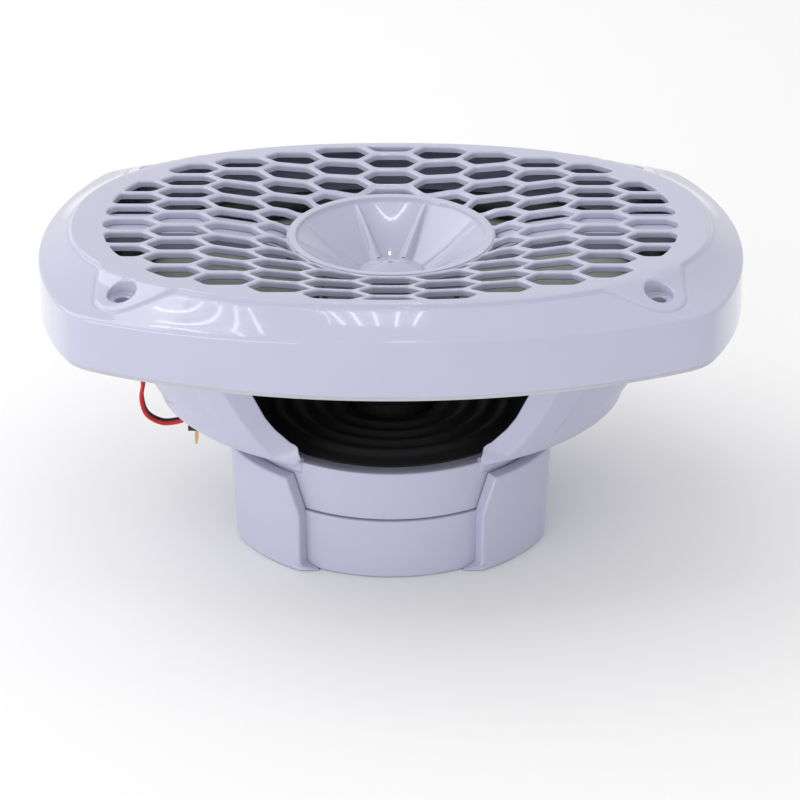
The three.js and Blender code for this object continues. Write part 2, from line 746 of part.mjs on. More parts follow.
function capacitor() {
  const { x, y, z, thick } = BOARD;
  const radius = 3.4;
  return disc(radius, -8, 8, SMALL_STEPS)
    .rotate([90, 0, 0])
    .translate([x - 2.6, y + 7.4, z + thick / 2 + radius + GAP]);
}

// Chosen by hand: out of the tweeter, under the honeycomb, down through the flange and back to the board.
const LEAD_ROUTE = [
  [-21.4, 78],
  [-26, 80],
  [-29.6, 88],
  [-33, 95],
  [-41, 99.4],
  [-58, 102.6],
  [-80, 104.6],
  [-98, 104.6],
  [-107.6, 101.6],
  [LEAD_X, 94],
  [LEAD_X, 84],
  [-107.4, 76],
  [-100, 66],
  [-93.4, 56],
  [-90, 48.6],
  [-90.8, 41.6],
  [-89.2, 35],
  [-84, 31.6],
  [-78.6, 31.8],
  [-74.6, 33.2],
];

function lead(side) {
  const y = side * LEAD_SPREAD;
  const route = new THREE.CatmullRomCurve3(LEAD_ROUTE.map(([x, z]) => new THREE.Vector3(x, y, z)));
  const section = new THREE.Shape().absarc(0, 0, LEAD_RADIUS, 0, 2 * Math.PI, false);
  const options = { steps: 48, curveSegments: 4, bevelEnabled: false, extrudePath: route };
  return solid(new THREE.ExtrudeGeometry(section, options));
}

// From the board's inner end through the bowl to the former.
function tinselLead(side) {
  const route = new THREE.CatmullRomCurve3([
    new THREE.Vector3(-FORMER.outer - 1.2, side * 5, 44.8),
    new THREE.Vector3(-24, side * 5.6, 46),
    new THREE.Vector3(-36, side * 6, 46.4),
    new THREE.Vector3(-48, side * 6, 48),
    new THREE.Vector3(-57, side * 6, 46.2),
  ]);
  const section = new THREE.Shape().absarc(0, 0, 0.6, 0, 2 * Math.PI, false);
  const options = { steps: 16, curveSegments: 2, bevelEnabled: false, extrudePath: route };
  return solid(new THREE.ExtrudeGeometry(section, options));
}

// ---- materials and assembly ----
const FINISH = {
  whitePlastic: { color: 0xdfe0ee, roughness: 0.28, metalness: 0 },
  paleFoam: { color: 0xb4b4b8, roughness: 0.9, metalness: 0 },
  blackRubber: { color: 0x17181a, roughness: 0.75, metalness: 0 },
  conePoly: { color: 0xb3bcb4, roughness: 0.5, metalness: 0 },
  fabric: { color: 0x1c1c1e, roughness: 0.95, metalness: 0 },
  steel: { color: 0xb9bcc2, roughness: 0.35, metalness: 1 },
  ferrite: { color: 0x2d2e31, roughness: 0.8, metalness: 0 },
  copper: { color: 0xb8673a, roughness: 0.4, metalness: 1 },
  brass: { color: 0xc9a050, roughness: 0.3, metalness: 1 },
  kapton: { color: 0x1f1a16, roughness: 0.4, metalness: 0 },
  darkPlastic: { color: 0x26262a, roughness: 0.6, metalness: 0 },
  redVinyl: { color: 0xb02420, roughness: 0.45, metalness: 0 },
  blackVinyl: { color: 0x161618, roughness: 0.45, metalness: 0 },
  capacitorFilm: { color: 0xc98f2b, roughness: 0.35, metalness: 0 },
};

function asMesh(name, body, finish) {
  const made = body.getMesh();
  const geometry = new THREE.BufferGeometry();
  geometry.setAttribute("position", new THREE.BufferAttribute(made.vertProperties, 3));
  geometry.setIndex(new THREE.BufferAttribute(made.triVerts, 1));
  geometry.computeVertexNormals();
  const mesh = new THREE.Mesh(geometry, new THREE.MeshStandardMaterial(FINISH[finish]));
  mesh.name = name;
  return mesh;
}

const speaker = new THREE.Group();
const place = (name, body, finish) => speaker.add(asMesh(name, body, finish));

place("grille", grille(), "whitePlastic");
place("tweeter_horn", drilledHorn(), "whitePlastic");
place("tweeter_phase_plug", phasePlug(), "whitePlastic");
place("tweeter_dome", cap(DOME.radius, DOME.edge, DOME.top - DOME.edge, DOME.thick, 36), "darkPlastic");
place(
  "tweeter_voice_coil",
  ring(TWEETER_COIL.inner, TWEETER_COIL.outer, TWEETER_COIL.bottom, TWEETER_COIL.top, 36),
  "copper",
);
place(
  "tweeter_pole_plate",
  disc(POLE_PLATE.radius, POLE_PLATE.bottom, POLE_PLATE.bottom + POLE_PLATE.thick, 36),
  "steel",
);
place(
  "tweeter_magnet",
  disc(TWEETER_MAGNET.radius, TWEETER_MAGNET.bottom, TWEETER_MAGNET.bottom + TWEETER_MAGNET.height, 36),
  "steel",
);
place(
  "tweeter_yoke",
  turned(
    [
      [0, YOKE.bottom],
      [YOKE.outer, YOKE.bottom],
      [YOKE.outer, YOKE.top],
      [YOKE.inner, YOKE.top],
      [YOKE.inner, YOKE.bottom + YOKE.floor],
      [0, YOKE.bottom + YOKE.floor],
    ],
    36,
  ),
  "steel",
);
place("tweeter_housing", tweeterHousing(), "darkPlastic");
for (let i = 0; i < TWEETER_SCREWS; i++) place("tweeter_screw_" + (i + 1), tweeterScrew(i), "steel");

place("basket", basket(), "whitePlastic");
place("mounting_gasket", mountingGasket(), "paleFoam");
place("magnet_cover", magnetCover(), "whitePlastic");
place("back_plate", backPlate(), "steel");
place("magnet", ring(MAGNET.inner, MAGNET.radius, MAGNET.bottom, MAGNET.top, ROUND_STEPS), "ferrite");
place("top_plate", topPlate(), "steel");
for (let i = 0; i < 4; i++) place("motor_screw_" + (i + 1), motorScrew(i), "steel");

place("cone", cone(), "conePoly");
place("dust_cap", cap(CAP.radius, coneZ(CAP.radius) + CONE.thick + GAP, CAP.rise, CAP.thick, 36), "conePoly");
place(
  "voice_coil_former",
  ring(FORMER.inner, FORMER.outer, FORMER.bottom, FORMER.top, 36),
  "kapton",
);
place("voice_coil", ring(COIL.inner, COIL.outer, COIL.bottom, COIL.top, 36), "copper");
place("spider", spider(), "fabric");
place("surround", surround(), "blackRubber");

place("terminal_board", terminalBoard(), "darkPlastic");
place("terminal_positive", terminal(-2, 6), "brass");
place("terminal_negative", terminal(8, 4), "brass");
place("crossover_capacitor", capacitor(), "capacitorFilm");
place("tweeter_lead_red", lead(-1), "redVinyl");
place("tweeter_lead_black", lead(1), "blackVinyl");
place("tinsel_lead_1", tinselLead(-1), "copper");
place("tinsel_lead_2", tinselLead(1), "copper");

export default speaker;
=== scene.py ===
"""A 6x9-inch coaxial speaker standing on its magnet cover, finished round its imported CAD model."""

import math

import bmesh
import bpy
import numpy as np
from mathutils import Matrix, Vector
from mathutils.geometry import delaunay_2d_cdt
from mathutils.kdtree import KDTree


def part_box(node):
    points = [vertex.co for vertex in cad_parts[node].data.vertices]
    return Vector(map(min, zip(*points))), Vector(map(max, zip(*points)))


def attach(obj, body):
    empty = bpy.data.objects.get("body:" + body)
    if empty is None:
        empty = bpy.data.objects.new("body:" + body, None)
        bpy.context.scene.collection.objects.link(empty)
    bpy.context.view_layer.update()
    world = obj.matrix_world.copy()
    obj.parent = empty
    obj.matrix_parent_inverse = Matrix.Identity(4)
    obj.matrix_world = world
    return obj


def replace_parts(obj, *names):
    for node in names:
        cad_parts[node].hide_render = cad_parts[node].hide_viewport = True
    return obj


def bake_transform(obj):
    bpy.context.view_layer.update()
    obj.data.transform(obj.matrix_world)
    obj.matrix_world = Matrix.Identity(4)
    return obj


MM = 0.001
TAU = 2 * math.pi
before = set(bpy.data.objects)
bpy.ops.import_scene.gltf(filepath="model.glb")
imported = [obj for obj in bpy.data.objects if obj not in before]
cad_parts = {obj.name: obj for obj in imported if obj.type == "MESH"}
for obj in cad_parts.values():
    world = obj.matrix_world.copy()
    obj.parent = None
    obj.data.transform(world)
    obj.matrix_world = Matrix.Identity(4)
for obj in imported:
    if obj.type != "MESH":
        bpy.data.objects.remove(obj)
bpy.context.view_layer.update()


# ---- dimensions, in millimetres, shared with the CAD ----
def span(node):
    """The lowest and highest corners of a CAD node, in millimetres."""
    low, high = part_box(node)
    return np.array(low) / MM, np.array(high) / MM


GRILLE_HIGH = span("grille")[1]
TRIM = {"length": GRILLE_HIGH[0], "width": GRILLE_HIGH[1], "end_arc": 130, "side_arc": 240, "corner": 70}
TRIM_WALL = 2.4
TRIM_BOTTOM = 86.4
# (inset, height) down the trim's outer wall, and up the inside of it
TRIM_FACE = ((0.4, 100), (0.2, 94), (0, 87.2), (0.08, 86.7), (0.4, TRIM_BOTTOM))
TRIM_BACK = ((TRIM_WALL - 0.3, TRIM_BOTTOM), (TRIM_WALL, 86.8), (TRIM_WALL + 0.2, 101.5))
SHOULDER = 106
SHOULDER_DROP = 1.45  # how much lower the shoulder is at the corners
SHOULDER_INSET = 1.7  # where the band starts to round over
SHOULDER_ROUND = 1.25
BAND_BULGE = 0.8  # how far the band's middle stands above a straight slope
CORNER_HOLLOW = 1.6  # how much of that is lost for each millimetre of the shoulder's drop
PANEL = {"length": 112, "width": 72.6, "power": 2.25}
PANEL_TOP = GRILLE_HIGH[2]
PANEL_STEP = 0.9
EAR_FLUSH = 0.7  # how much of the panel's step is gone out on an ear
GROOVE = ((0, 0), (0.15, 0.2), (0.45, 0.32), (0.8, 0.22), (1.2, 0))  # (offset, depth) round the panel
RIM_THICK = 2.6
PANEL_THICK = 2.7
FIELD = {"length": 100.2, "width": 68.7, "power": 2.3}
CELL = {"pitch_x": 18.32, "pitch_y": 11.62, "rib": 2.4, "flat": 0.335}
COLUMNS = 5
SMALLEST_CELL = 30  # square millimetres; smaller ones are left filled
SMALLEST_CUT_CELL = 7  # the same, for the cells that run under the horn's rim
RIM_ROUND = 0.85  # the radius of a cell's rounded top rim
DISH = {"radius": 69, "slope": 0.157, "collar_from": 41.5, "collar_drop": 1.5}
BRIDGE = {"from": 36.6, "to": 104, "half": 8.5, "thick": 2, "side": 1.5, "depth": 6}
EAR = {"x": 88.8, "y": 56.2, "radius": 9}
EAR_ROOTS = ((98, 41), (70.5, 59.5))
SCREW_HOLE = {"rim": 5.4, "head": 4.9, "sink": 2.9, "bore": 2.6, "boss": 6.2, "bottom": 90.4}

HORN = {"rim": 36.2, "lip": 33.2, "top": span("tweeter_horn")[1][2], "throat": 12.4, "throat_z": 90.2}
HORN_CUT = 36.95  # the honeycomb stops at this radius, under the horn's rim
FINS = 8
SIDE_FIN = 0.35  # the fins towards the ends of the oval are this much of the others' height
COLLAR = {"inner": 20.8, "outer": 25, "bottom": 86.4}
PLUG = {"radius": 11.4, "edge": 92.2, "top": span("tweeter_phase_plug")[1][2], "bottom": 91.4}

FLANGE = {"bottom": 86.7, "thick": 3.4, "inset": 3}
BOWL_WALL = 3
BOWL_TOP = {"length": 104, "width": 71.5, "power": 2.3}
BOWL_WAIST = {"length": 80.5, "width": 58.9}  # the outer edge of the bowl's low shelf
BELT = {"radius": 57.4, "bottom": 23, "top": 41, "wall": 3}
SEAT = {"inner": 46.6, "top": 40}  # the spider's ledge
MOTOR_FLOOR = {"inner": 18.3, "top": 33.4, "bottom": 30}
# (height, half the window's width) at the arms' outer surface, and at the back of their rims
WINDOW_OUTER = (
    (36, 31), (41.4, 31), (42.2, 33.5), (44.2, 40), (52, 46),
    (60, 50.5), (72.5, 56.5), (90, 62),
)
WINDOW_INNER = (
    (36, 31), (42, 31), (45, 33.8), (46.4, 36.6), (52.4, 42.3),
    (57.9, 45.8), (67.5, 49.9), (90, 58),
)
# (radius along X, height) up an arm's outer surface, from its end on the belt
ARM_SECTION = (
    (59, 36.8), (59.2, 39), (60.6, 40.6), (65, 41.2), (71, 41.6), (77, 42.5), (81.2, 44.9),
    (84.5, 49.5), (88.4, 56), (92.6, 65), (97, 74), (102, 82.8), (104, 87.4),
)
COVER = {"radius": 58.2, "top": 22.6, "wall": 2.8, "floor": 2.6, "flat": 55.6, "draft": 0.055}
WING = {"radius": 62.6, "top": 36, "inner_x": 32, "top_x": 36.5, "inside": 57.9}
CONE = {"neck": 16.2, "neck_z": 46.2, "length": 90, "width": 58, "rim_z": 88.4, "thick": 1.2}

# ---- colours, as linear light ----
WHITE_PLASTIC = (0.468, 0.466, 0.602)


# ---- outlines, as the distance from the middle at an angle ----
def oval_radius(angle, oval):
    along = (np.abs(np.cos(angle)) / oval["length"]) ** oval["power"]
    across = (np.abs(np.sin(angle)) / oval["width"]) ** oval["power"]
    return (along + across) ** (-1 / oval["power"])


def arc_reach(cosine, crown, radius):
    centre = crown - radius
    return cosine * centre + np.sqrt((cosine * centre) ** 2 + radius**2 - centre**2)


def trim_radius(angle):
    """Four arcs, with the corners between them rounded off."""
    end = arc_reach(np.abs(np.cos(angle)), TRIM["length"], TRIM["end_arc"])
    side = arc_reach(np.abs(np.sin(angle)), TRIM["width"], TRIM["side_arc"])
    power = TRIM["corner"]
    return (end**-power + side**-power) ** (-1 / power)


def panel_radius(angle):
    return oval_radius(angle, PANEL)


def mix(a, b, share):
    return a + (b - a) * np.clip(share, 0, 1)


def smooth(share):
    share = np.clip(share, 0, 1)
    return share * share * (3 - 2 * share)


def bowl_warp(radius, angle):
    """Round at the motor, an oval at the edge of the low shelf, and a fuller oval at the top."""
    low = (radius - BELT["radius"]) / (BOWL_WAIST["length"] - BELT["radius"])
    high = (radius - BOWL_WAIST["length"]) / (BOWL_TOP["length"] - BOWL_WAIST["length"])
    width = mix(mix(BELT["radius"], BOWL_WAIST["width"], low), BOWL_TOP["width"], high)
    width = np.where(radius < BELT["radius"], radius, width)
    outside = np.maximum(0, radius - BOWL_TOP["length"])
    oval = {"length": radius - outside, "width": width, "power": mix(2, BOWL_TOP["power"], high)}
    return oval_radius(angle, oval) + outside


def flange_warp(radius, angle):
    """The flange's inner edge follows the bowl and its outer edge the trim."""
    edge = TRIM["length"] - FLANGE["inset"]
    share = (radius - BOWL_TOP["length"]) / (edge - BOWL_TOP["length"])
    outer = trim_radius(angle) - TRIM["length"] + radius
    return mix(bowl_warp(radius, angle), outer, share)


def cone_warp(radius, angle):
    """Round at the voice coil, and the cone's oval at its rim."""
    share = (radius - CONE["neck"]) / (CONE["length"] - CONE["neck"])
    rim = {"length": CONE["length"], "width": CONE["width"], "power": 2.15}
    outside = np.maximum(0, radius - CONE["length"])
    return (radius - outside) * mix(1, oval_radius(angle, rim) / CONE["length"], share) + outside


def surround_warp(radius, angle):
    share = (radius - CONE["length"]) / (BOWL_TOP["length"] - CONE["length"])
    return mix(cone_warp(radius, angle), bowl_warp(radius, angle), share)


def flat_sided(radius, angle, z, inset):
    """A circle cut by the magnet cover's two flat sides, with the corners rounded off."""
    flat = COVER["flat"] + COVER["draft"] * z - inset
    reach = flat / np.maximum(np.abs(np.cos(angle)), 0.01)
    return (radius**-60.0 + reach**-60.0) ** (-1 / 60)


# ---- meshes ----
def piece(name, parts, material, sharp=38):
    """One object from (points, faces) parts, in millimetres."""
    points, faces, first = [], [], 0
    for part_points, part_faces in parts:
        part_points = np.asarray(part_points, float).reshape(-1, 3)
        points.append(part_points)
        faces += [tuple(first + i for i in face) for face in part_faces]
        first += len(part_points)
    mesh = bpy.data.meshes.new(name)
    mesh.from_pydata((np.vstack(points) * MM).tolist(), [], faces)
    mesh.validate()
    mesh.polygons.foreach_set("use_smooth", [True] * len(mesh.polygons))
    mesh.set_sharp_from_angle(angle=math.radians(sharp))
    mesh.materials.append(material)
    obj = bpy.data.objects.new(name, mesh)
    bpy.context.scene.collection.objects.link(obj)
    return obj


def grid(rows, close_rows=False, close_columns=True):
    """Quads over a list of rows of points."""
    rows = np.asarray(rows, float)
    count, width = rows.shape[:2]
    faces = []
    for i in range(count if close_rows else count - 1):
        below, above = i * width, ((i + 1) % count) * width
        for j in range(width if close_columns else width - 1):
            k = (j + 1) % width
            faces.append((below + j, below + k, above + k, above + j))
    return rows.reshape(-1, 3), faces


def filleted(corners, closed=True, steps=4):
    """A section through corners (x, y, radius) with each one rounded off."""
    made = []
    count = len(corners)
    for i, (x, y, radius) in enumerate(corners):
        here = np.array([x, y], float)
        if not radius or (not closed and i in (0, count - 1)):
            made.append(here)
            continue
        before = np.array(corners[i - 1][:2]) - here
        after = np.array(corners[(i + 1) % count][:2]) - here
        lengths = np.linalg.norm(before), np.linalg.norm(after)
        before, after = before / lengths[0], after / lengths[1]
        half = math.acos(max(-1, min(1, before @ after))) / 2
        reach = min(radius / math.tan(half), 0.49 * lengths[0], 0.49 * lengths[1])
        for k in range(steps + 1):
            t = k / steps
            ends = (1 - t) ** 2 * (here + before * reach) + t * t * (here + after * reach)
            made.append(ends + 2 * t * (1 - t) * here)
    return np.array(made)


def refined(section, step, closed=True):
    """The same section with no edge longer than the step."""
    made = []
    count = len(section)
    for i in range(count if closed else count - 1):
        a, b = section[i], section[(i + 1) % count]
        parts = max(1, math.ceil(np.linalg.norm(b - a) / step))
        made += [a + (b - a) * k / parts for k in range(parts)]
    if not closed:
        made.append(section[-1])
    return np.array(made)


def turned(section, steps=144, warp=None, closed=True):
    """A section of (radius, z) turned about Z, with its radius warped at each angle."""
    angles = np.arange(steps) * TAU / steps
    rows = []
    for radius, z in section:
        reach = np.full(steps, max(radius, 1e-4))
        if warp:
            reach = warp(reach, angles)
        rows.append(np.column_stack([reach * np.cos(angles), reach * np.sin(angles), np.full(steps, z)]))
    return grid(rows, close_rows=closed)


def through(points, step):
    """A smooth line through the points, resampled evenly."""
    points = np.asarray(points, float)
    padded = np.vstack([2 * points[0] - points[1], points, 2 * points[-1] - points[-2]])
    fine = []
    for i in range(1, len(padded) - 2):
        p0, p1, p2, p3 = padded[i - 1 : i + 3]
        t = np.linspace(0, 1, 24, endpoint=False)[:, None]
        curve = 2 * p1 + (p2 - p0) * t + (2 * p0 - 5 * p1 + 4 * p2 - p3) * t**2
        fine.append((curve + (3 * p1 - p0 - 3 * p2 + p3) * t**3) / 2)
    fine = np.vstack([*fine, points[-1:]])
    along = np.concatenate([[0], np.cumsum(np.linalg.norm(np.diff(fine, axis=0), axis=1))])
    at = np.linspace(0, along[-1], max(2, round(along[-1] / step)))
    return np.column_stack([np.interp(at, along, fine[:, k]) for k in range(points.shape[1])])


def tube(line, radius, sides=14):
    """A round tube along a line, closed at both ends."""
    tangents = np.gradient(line, axis=0)
    tangents /= np.linalg.norm(tangents, axis=1)[:, None]
    side = np.cross(tangents[0], (0.1, 1, 0.2))
    turns = np.arange(sides) * TAU / sides
    rows = []
    for point, tangent in zip(line, tangents):
        side = side - tangent * (side @ tangent)
        side /= np.linalg.norm(side)
        up = np.cross(tangent, side)
        rows.append(point + radius * (np.cos(turns)[:, None] * side + np.sin(turns)[:, None] * up))
    points, faces = grid(rows)
    last = len(points) - sides
    faces += [tuple(reversed(range(sides))), tuple(last + i for i in range(sides))]
    return points, faces


def even_outline(points, spacing, blur):
    """A closed outline resampled evenly, with its corners rounded off."""
    closed = np.vstack([points, points[:1]])
    along = np.concatenate([[0], np.cumsum(np.linalg.norm(np.diff(closed, axis=0), axis=1))])
    count = max(16, round(along[-1] / spacing))
    gap = along[-1] / count
    at = np.arange(count) * gap
    even = np.column_stack([np.interp(at, along, closed[:, k]) for k in (0, 1)])
    shifts = np.arange(-math.ceil(3 * blur / gap), math.ceil(3 * blur / gap) + 1)
    weights = np.exp(-0.5 * (shifts * gap / blur) ** 2)
    return sum(w * np.roll(even, k, axis=0) for w, k in zip(weights / weights.sum(), shifts))


def outward(points):
    """The outward unit normals of a closed outline that runs anticlockwise."""
    along = np.roll(points, -1, axis=0) - np.roll(points, 1, axis=0)
    normal = np.column_stack([along[:, 1], -along[:, 0]])
    return normal / np.linalg.norm(normal, axis=1)[:, None]


def inside(points, outline):
    """Which points lie inside a closed outline."""
    x, y = points[:, :1], points[:, 1:2]
    ax, ay = outline.T
    bx, by = np.roll(outline, -1, axis=0).T
    crosses = (ay > y) != (by > y)
    rise = np.where(by == ay, 1, by - ay)
    return (crosses & (x < ax + (y - ay) * (bx - ax) / rise)).sum(1) % 2 == 1


# ---- materials ----
def material(name, colour, roughness, **options):
    """A moulded, cast or drawn surface: uneven colour and gloss, and a fine grain in its bump."""
    made = bpy.data.materials.new(name)
    made.use_nodes = True
    nodes, links = made.node_tree.nodes, made.node_tree.links
    shader = nodes["Principled BSDF"]
    shader.inputs["Metallic"].default_value = options.get("metallic", 0)
    shader.inputs["Coat Weight"].default_value = options.get("coat", 0)
    shader.inputs["Coat Roughness"].default_value = options.get("coat_roughness", 0.08)
    shader.inputs["IOR"].default_value = options.get("ior", 1.46)
    shader.inputs["Subsurface Weight"].default_value = options.get("subsurface", 0)
    shader.inputs["Subsurface Radius"].default_value = (0.003, 0.003, 0.004)
    shader.inputs["Subsurface Scale"].default_value = 1
    place = nodes.new("ShaderNodeTexCoord").outputs["Object"]

    def noise(scale, detail):
        node = nodes.new("ShaderNodeTexNoise")
        node.inputs["Scale"].default_value = scale
        node.inputs["Detail"].default_value = detail
        links.new(place, node.inputs["Vector"])
        return node.outputs["Fac"]

    cloud = noise(options.get("cloud_scale", 28), 3)
    tint = nodes.new("ShaderNodeMix")
    tint.data_type = "RGBA"
    spread = options.get("spread", 0.035)
    tint.inputs["A"].default_value = (*[c * (1 - spread) for c in colour], 1)
    tint.inputs["B"].default_value = (*[min(1, c * (1 + spread)) for c in colour], 1)
    links.new(cloud, tint.inputs["Factor"])
    links.new(tint.outputs["Result"], shader.inputs["Base Color"])
    gloss = nodes.new("ShaderNodeMapRange")
    gloss.inputs["To Min"].default_value = roughness * 0.85
    gloss.inputs["To Max"].default_value = roughness * 1.2
    links.new(noise(options.get("cloud_scale", 28) * 4, 4), gloss.inputs["Value"])
    links.new(gloss.outputs["Result"], shader.inputs["Roughness"])
    bump = nodes.new("ShaderNodeBump")
    bump.inputs["Strength"].default_value = options.get("bump", 0.05)
    bump.inputs["Distance"].default_value = options.get("depth", 0.0001)
    links.new(noise(options.get("grain", 1400), 4), bump.inputs["Height"])
    links.new(bump.outputs["Normal"], shader.inputs["Normal"])
    return made


GLOSS_WHITE = material(
    "gloss_white", WHITE_PLASTIC, 0.1, coat=0.6, coat_roughness=0.03, bump=0.008, grain=260, depth=0.00005
)
SATIN_WHITE = material("satin_white", WHITE_PLASTIC, 0.3, coat=0.15, bump=0.05, grain=900)
GASKET_FOAM = material("gasket_foam", (0.5, 0.5, 0.55), 0.85, spread=0.12, bump=0.5, grain=1800, depth=0.0003)
CONE_FRONT = material("cone_front", (0.36, 0.4, 0.36), 0.35, spread=0.08, bump=0.1, grain=600)
CONE_BACK = material("cone_back", (0.012, 0.012, 0.014), 0.5, spread=0.2, bump=0.2, grain=700)
RUBBER = material("rubber", (0.012, 0.012, 0.013), 0.5, spread=0.2, bump=0.1, grain=900)
CLOTH = material("spider_cloth", (0.014, 0.014, 0.016), 0.9, spread=0.3, bump=0.5, grain=2600, depth=0.0003)
FERRITE = material("ferrite", (0.035, 0.035, 0.037), 0.55, spread=0.25, bump=0.3, grain=900)
STEEL = material("plated_steel", (0.55, 0.55, 0.56), 0.3, metallic=1, bump=0.05, spread=0.08)
NICKEL = material("nickel", (0.72, 0.7, 0.66), 0.22, metallic=1, spread=0.05)
SCREW = material("screw_steel", (0.2, 0.2, 0.21), 0.35, metallic=1, spread=0.15)
BRASS = material("brass", (0.72, 0.5, 0.2), 0.3, metallic=1, spread=0.12)
COPPER = material("copper", (0.72, 0.3, 0.14), 0.35, metallic=1, spread=0.15, grain=3000, bump=0.4)
FORMER_FILM = material("former_film", (0.014, 0.012, 0.011), 0.3, spread=0.1)
DOME_FILM = material("dome_film", (0.7, 0.68, 0.62), 0.2, spread=0.05)
BOARD = material("board", (0.03, 0.022, 0.016), 0.5, spread=0.3, bump=0.2)
DARK_PLASTIC = material("dark_plastic", (0.02, 0.02, 0.022), 0.4, spread=0.2)
RED_VINYL = material("red_vinyl", (0.55, 0.012, 0.01), 0.32, spread=0.1)
BLACK_VINYL = material("black_vinyl", (0.012, 0.012, 0.013), 0.32, spread=0.2)
CAP_FILM = material("capacitor_film", (0.5, 0.34, 0.06), 0.3, spread=0.08)


# ---- grille ----
def crease_outline(angles):
    """The raised panel with its four ears, as its distance from the middle at each angle."""
    fine = np.arange(7200) * TAU / 7200
    cosine, sine = np.abs(np.cos(fine)), np.abs(np.sin(fine))
    arc = [math.radians(-12 + 15.5 * i) for i in range(9)]
    lobe = [(EAR["x"] + EAR["radius"] * math.cos(a), EAR["y"] + EAR["radius"] * math.sin(a)) for a in arc]
    outline = [EAR_ROOTS[0], *lobe, EAR_ROOTS[1]]
    reach = panel_radius(fine)
    for (ax, ay), (bx, by) in zip(outline, outline[1:]):
        across = cosine * (by - ay) - sine * (bx - ax)
        distance = (ax * (by - ay) - ay * (bx - ax)) / across
        share = ((distance * cosine - ax) * (bx - ax) + (distance * sine - ay) * (by - ay)) / (
            (bx - ax) ** 2 + (by - ay) ** 2
        )
        reach = np.where((share >= 0) & (share <= 1), np.maximum(reach, distance), reach)
    points = np.column_stack([reach * np.cos(fine), reach * np.sin(fine)])
    rounded = even_outline(points, 0.4, 1.3)
    turn = np.unwrap(np.arctan2(rounded[:, 1], rounded[:, 0]))
    radius = np.hypot(*rounded.T)
    order = np.argsort(turn % TAU)
    turn, radius = (turn % TAU)[order], radius[order]
    return np.interp(angles, np.append(turn, turn[0] + TAU), np.append(radius, radius[0]), period=TAU)


def shoulder_z(points):
    """The height of the trim's shoulder, which is lower towards the corners."""
    return SHOULDER - SHOULDER_DROP * mix(0, 1, (np.abs(points[:, 0]) - 20) / 70)


def band_z(points):
    """The height of the sloping band between the panel and the shoulder of the trim."""
    angle = np.arctan2(points[:, 1], points[:, 0])
    inner = panel_radius(angle)
    share = (np.hypot(points[:, 0], points[:, 1]) - inner) / (trim_radius(angle) - 1.2 - inner)
    share = np.clip(share, 0, 1)
    shoulder = shoulder_z(points)
    bulge = BAND_BULGE - CORNER_HOLLOW * (SHOULDER - shoulder)
    return mix(PANEL_TOP - PANEL_STEP, shoulder, share) + bulge * share * (1 - share)


def panel_step(points):
    """How far the panel stands above the band: nearly flush out on the ears."""
    angle = np.arctan2(points[:, 1], points[:, 0])
    beyond = np.hypot(points[:, 0], points[:, 1]) - panel_radius(angle)
    return PANEL_STEP * (1 - EAR_FLUSH * smooth((beyond + 1) / 7))


def panel_z(points):
    """The height of the panel's top, dished towards the horn; the ears follow the slope of the band."""
    radius = np.hypot(points[:, 0], points[:, 1])
    collar = mix(0, DISH["collar_drop"], (DISH["collar_from"] - radius) / (DISH["collar_from"] - HORN["rim"]))
    drop = DISH["slope"] * np.maximum(0, DISH["radius"] - radius) + collar
    return band_z(points) + panel_step(points) - drop


def clip(points, nx, ny, limit):
    """The part of a convex outline where x * nx + y * ny is at most the limit."""
    kept = []
    for i, here in enumerate(points):
        after = points[(i + 1) % len(points)]
        a = here[0] * nx + here[1] * ny - limit
        b = after[0] * nx + after[1] * ny - limit
        if a <= 0:
            kept.append(here)
        if (a < 0) != (b < 0) and a != b:
            kept.append(tuple(np.array(here) + (np.array(after) - here) * a / (a - b)))
    return kept


def cell_at(cx, cy):
    half_row = CELL["pitch_y"] / 2
    flat_half = CELL["pitch_x"] * CELL["flat"]
    tip = CELL["pitch_x"] - flat_half
    slant = math.hypot(tip - flat_half, half_row)
    nx, ny = half_row / slant, (tip - flat_half) / slant
    cell = [(-tip, -half_row * 2), (tip, -half_row * 2), (tip, half_row * 2), (-tip, half_row * 2)]
    for sy in (-1, 1):
        cell = clip(cell, 0, sy, half_row - CELL["rib"] / 2)
        for sx in (-1, 1):
            cell = clip(cell, sx * nx, sy * ny, tip * nx - CELL["rib"] / 2)
    cell = [(x + cx, y + cy) for x, y in cell]
    for angle in np.arange(72) * TAU / 72:
        reach = oval_radius(angle, FIELD)
        x, y = reach * math.cos(angle), reach * math.sin(angle)
        nx = math.copysign(abs(x) ** (FIELD["power"] - 1), x) / FIELD["length"] ** FIELD["power"]
        ny = math.copysign(abs(y) ** (FIELD["power"] - 1), y) / FIELD["width"] ** FIELD["power"]
        cell = clip(cell, nx, ny, nx * x + ny * y)
    return cell


def clear_of_horn(outline):
    """A cell with the horn's round opening cut out of it."""
    fine = refined(np.array(outline), 0.25)
    clear = np.hypot(*fine.T) > HORN_CUT
    if clear.all():
        return fine
    if not clear.any():
        return None
    start = next(i for i in range(len(fine)) if clear[i] and not clear[i - 1])
    fine, clear = np.roll(fine, -start, axis=0), np.roll(clear, -start)
    kept = fine[clear]
    ends = [math.atan2(kept[k][1], kept[k][0]) for k in (-1, 0)]
    turn = (ends[1] - ends[0] + math.pi) % TAU - math.pi
    arc = ends[0] + turn * np.linspace(0, 1, max(3, int(abs(turn) * HORN_CUT / 0.4)))
    return np.vstack([kept, np.column_stack([HORN_CUT * np.cos(arc), HORN_CUT * np.sin(arc)])])


def outline_area(points):
    x, y = np.asarray(points).T
    return 0.5 * (x @ np.roll(y, -1) - y @ np.roll(x, -1))


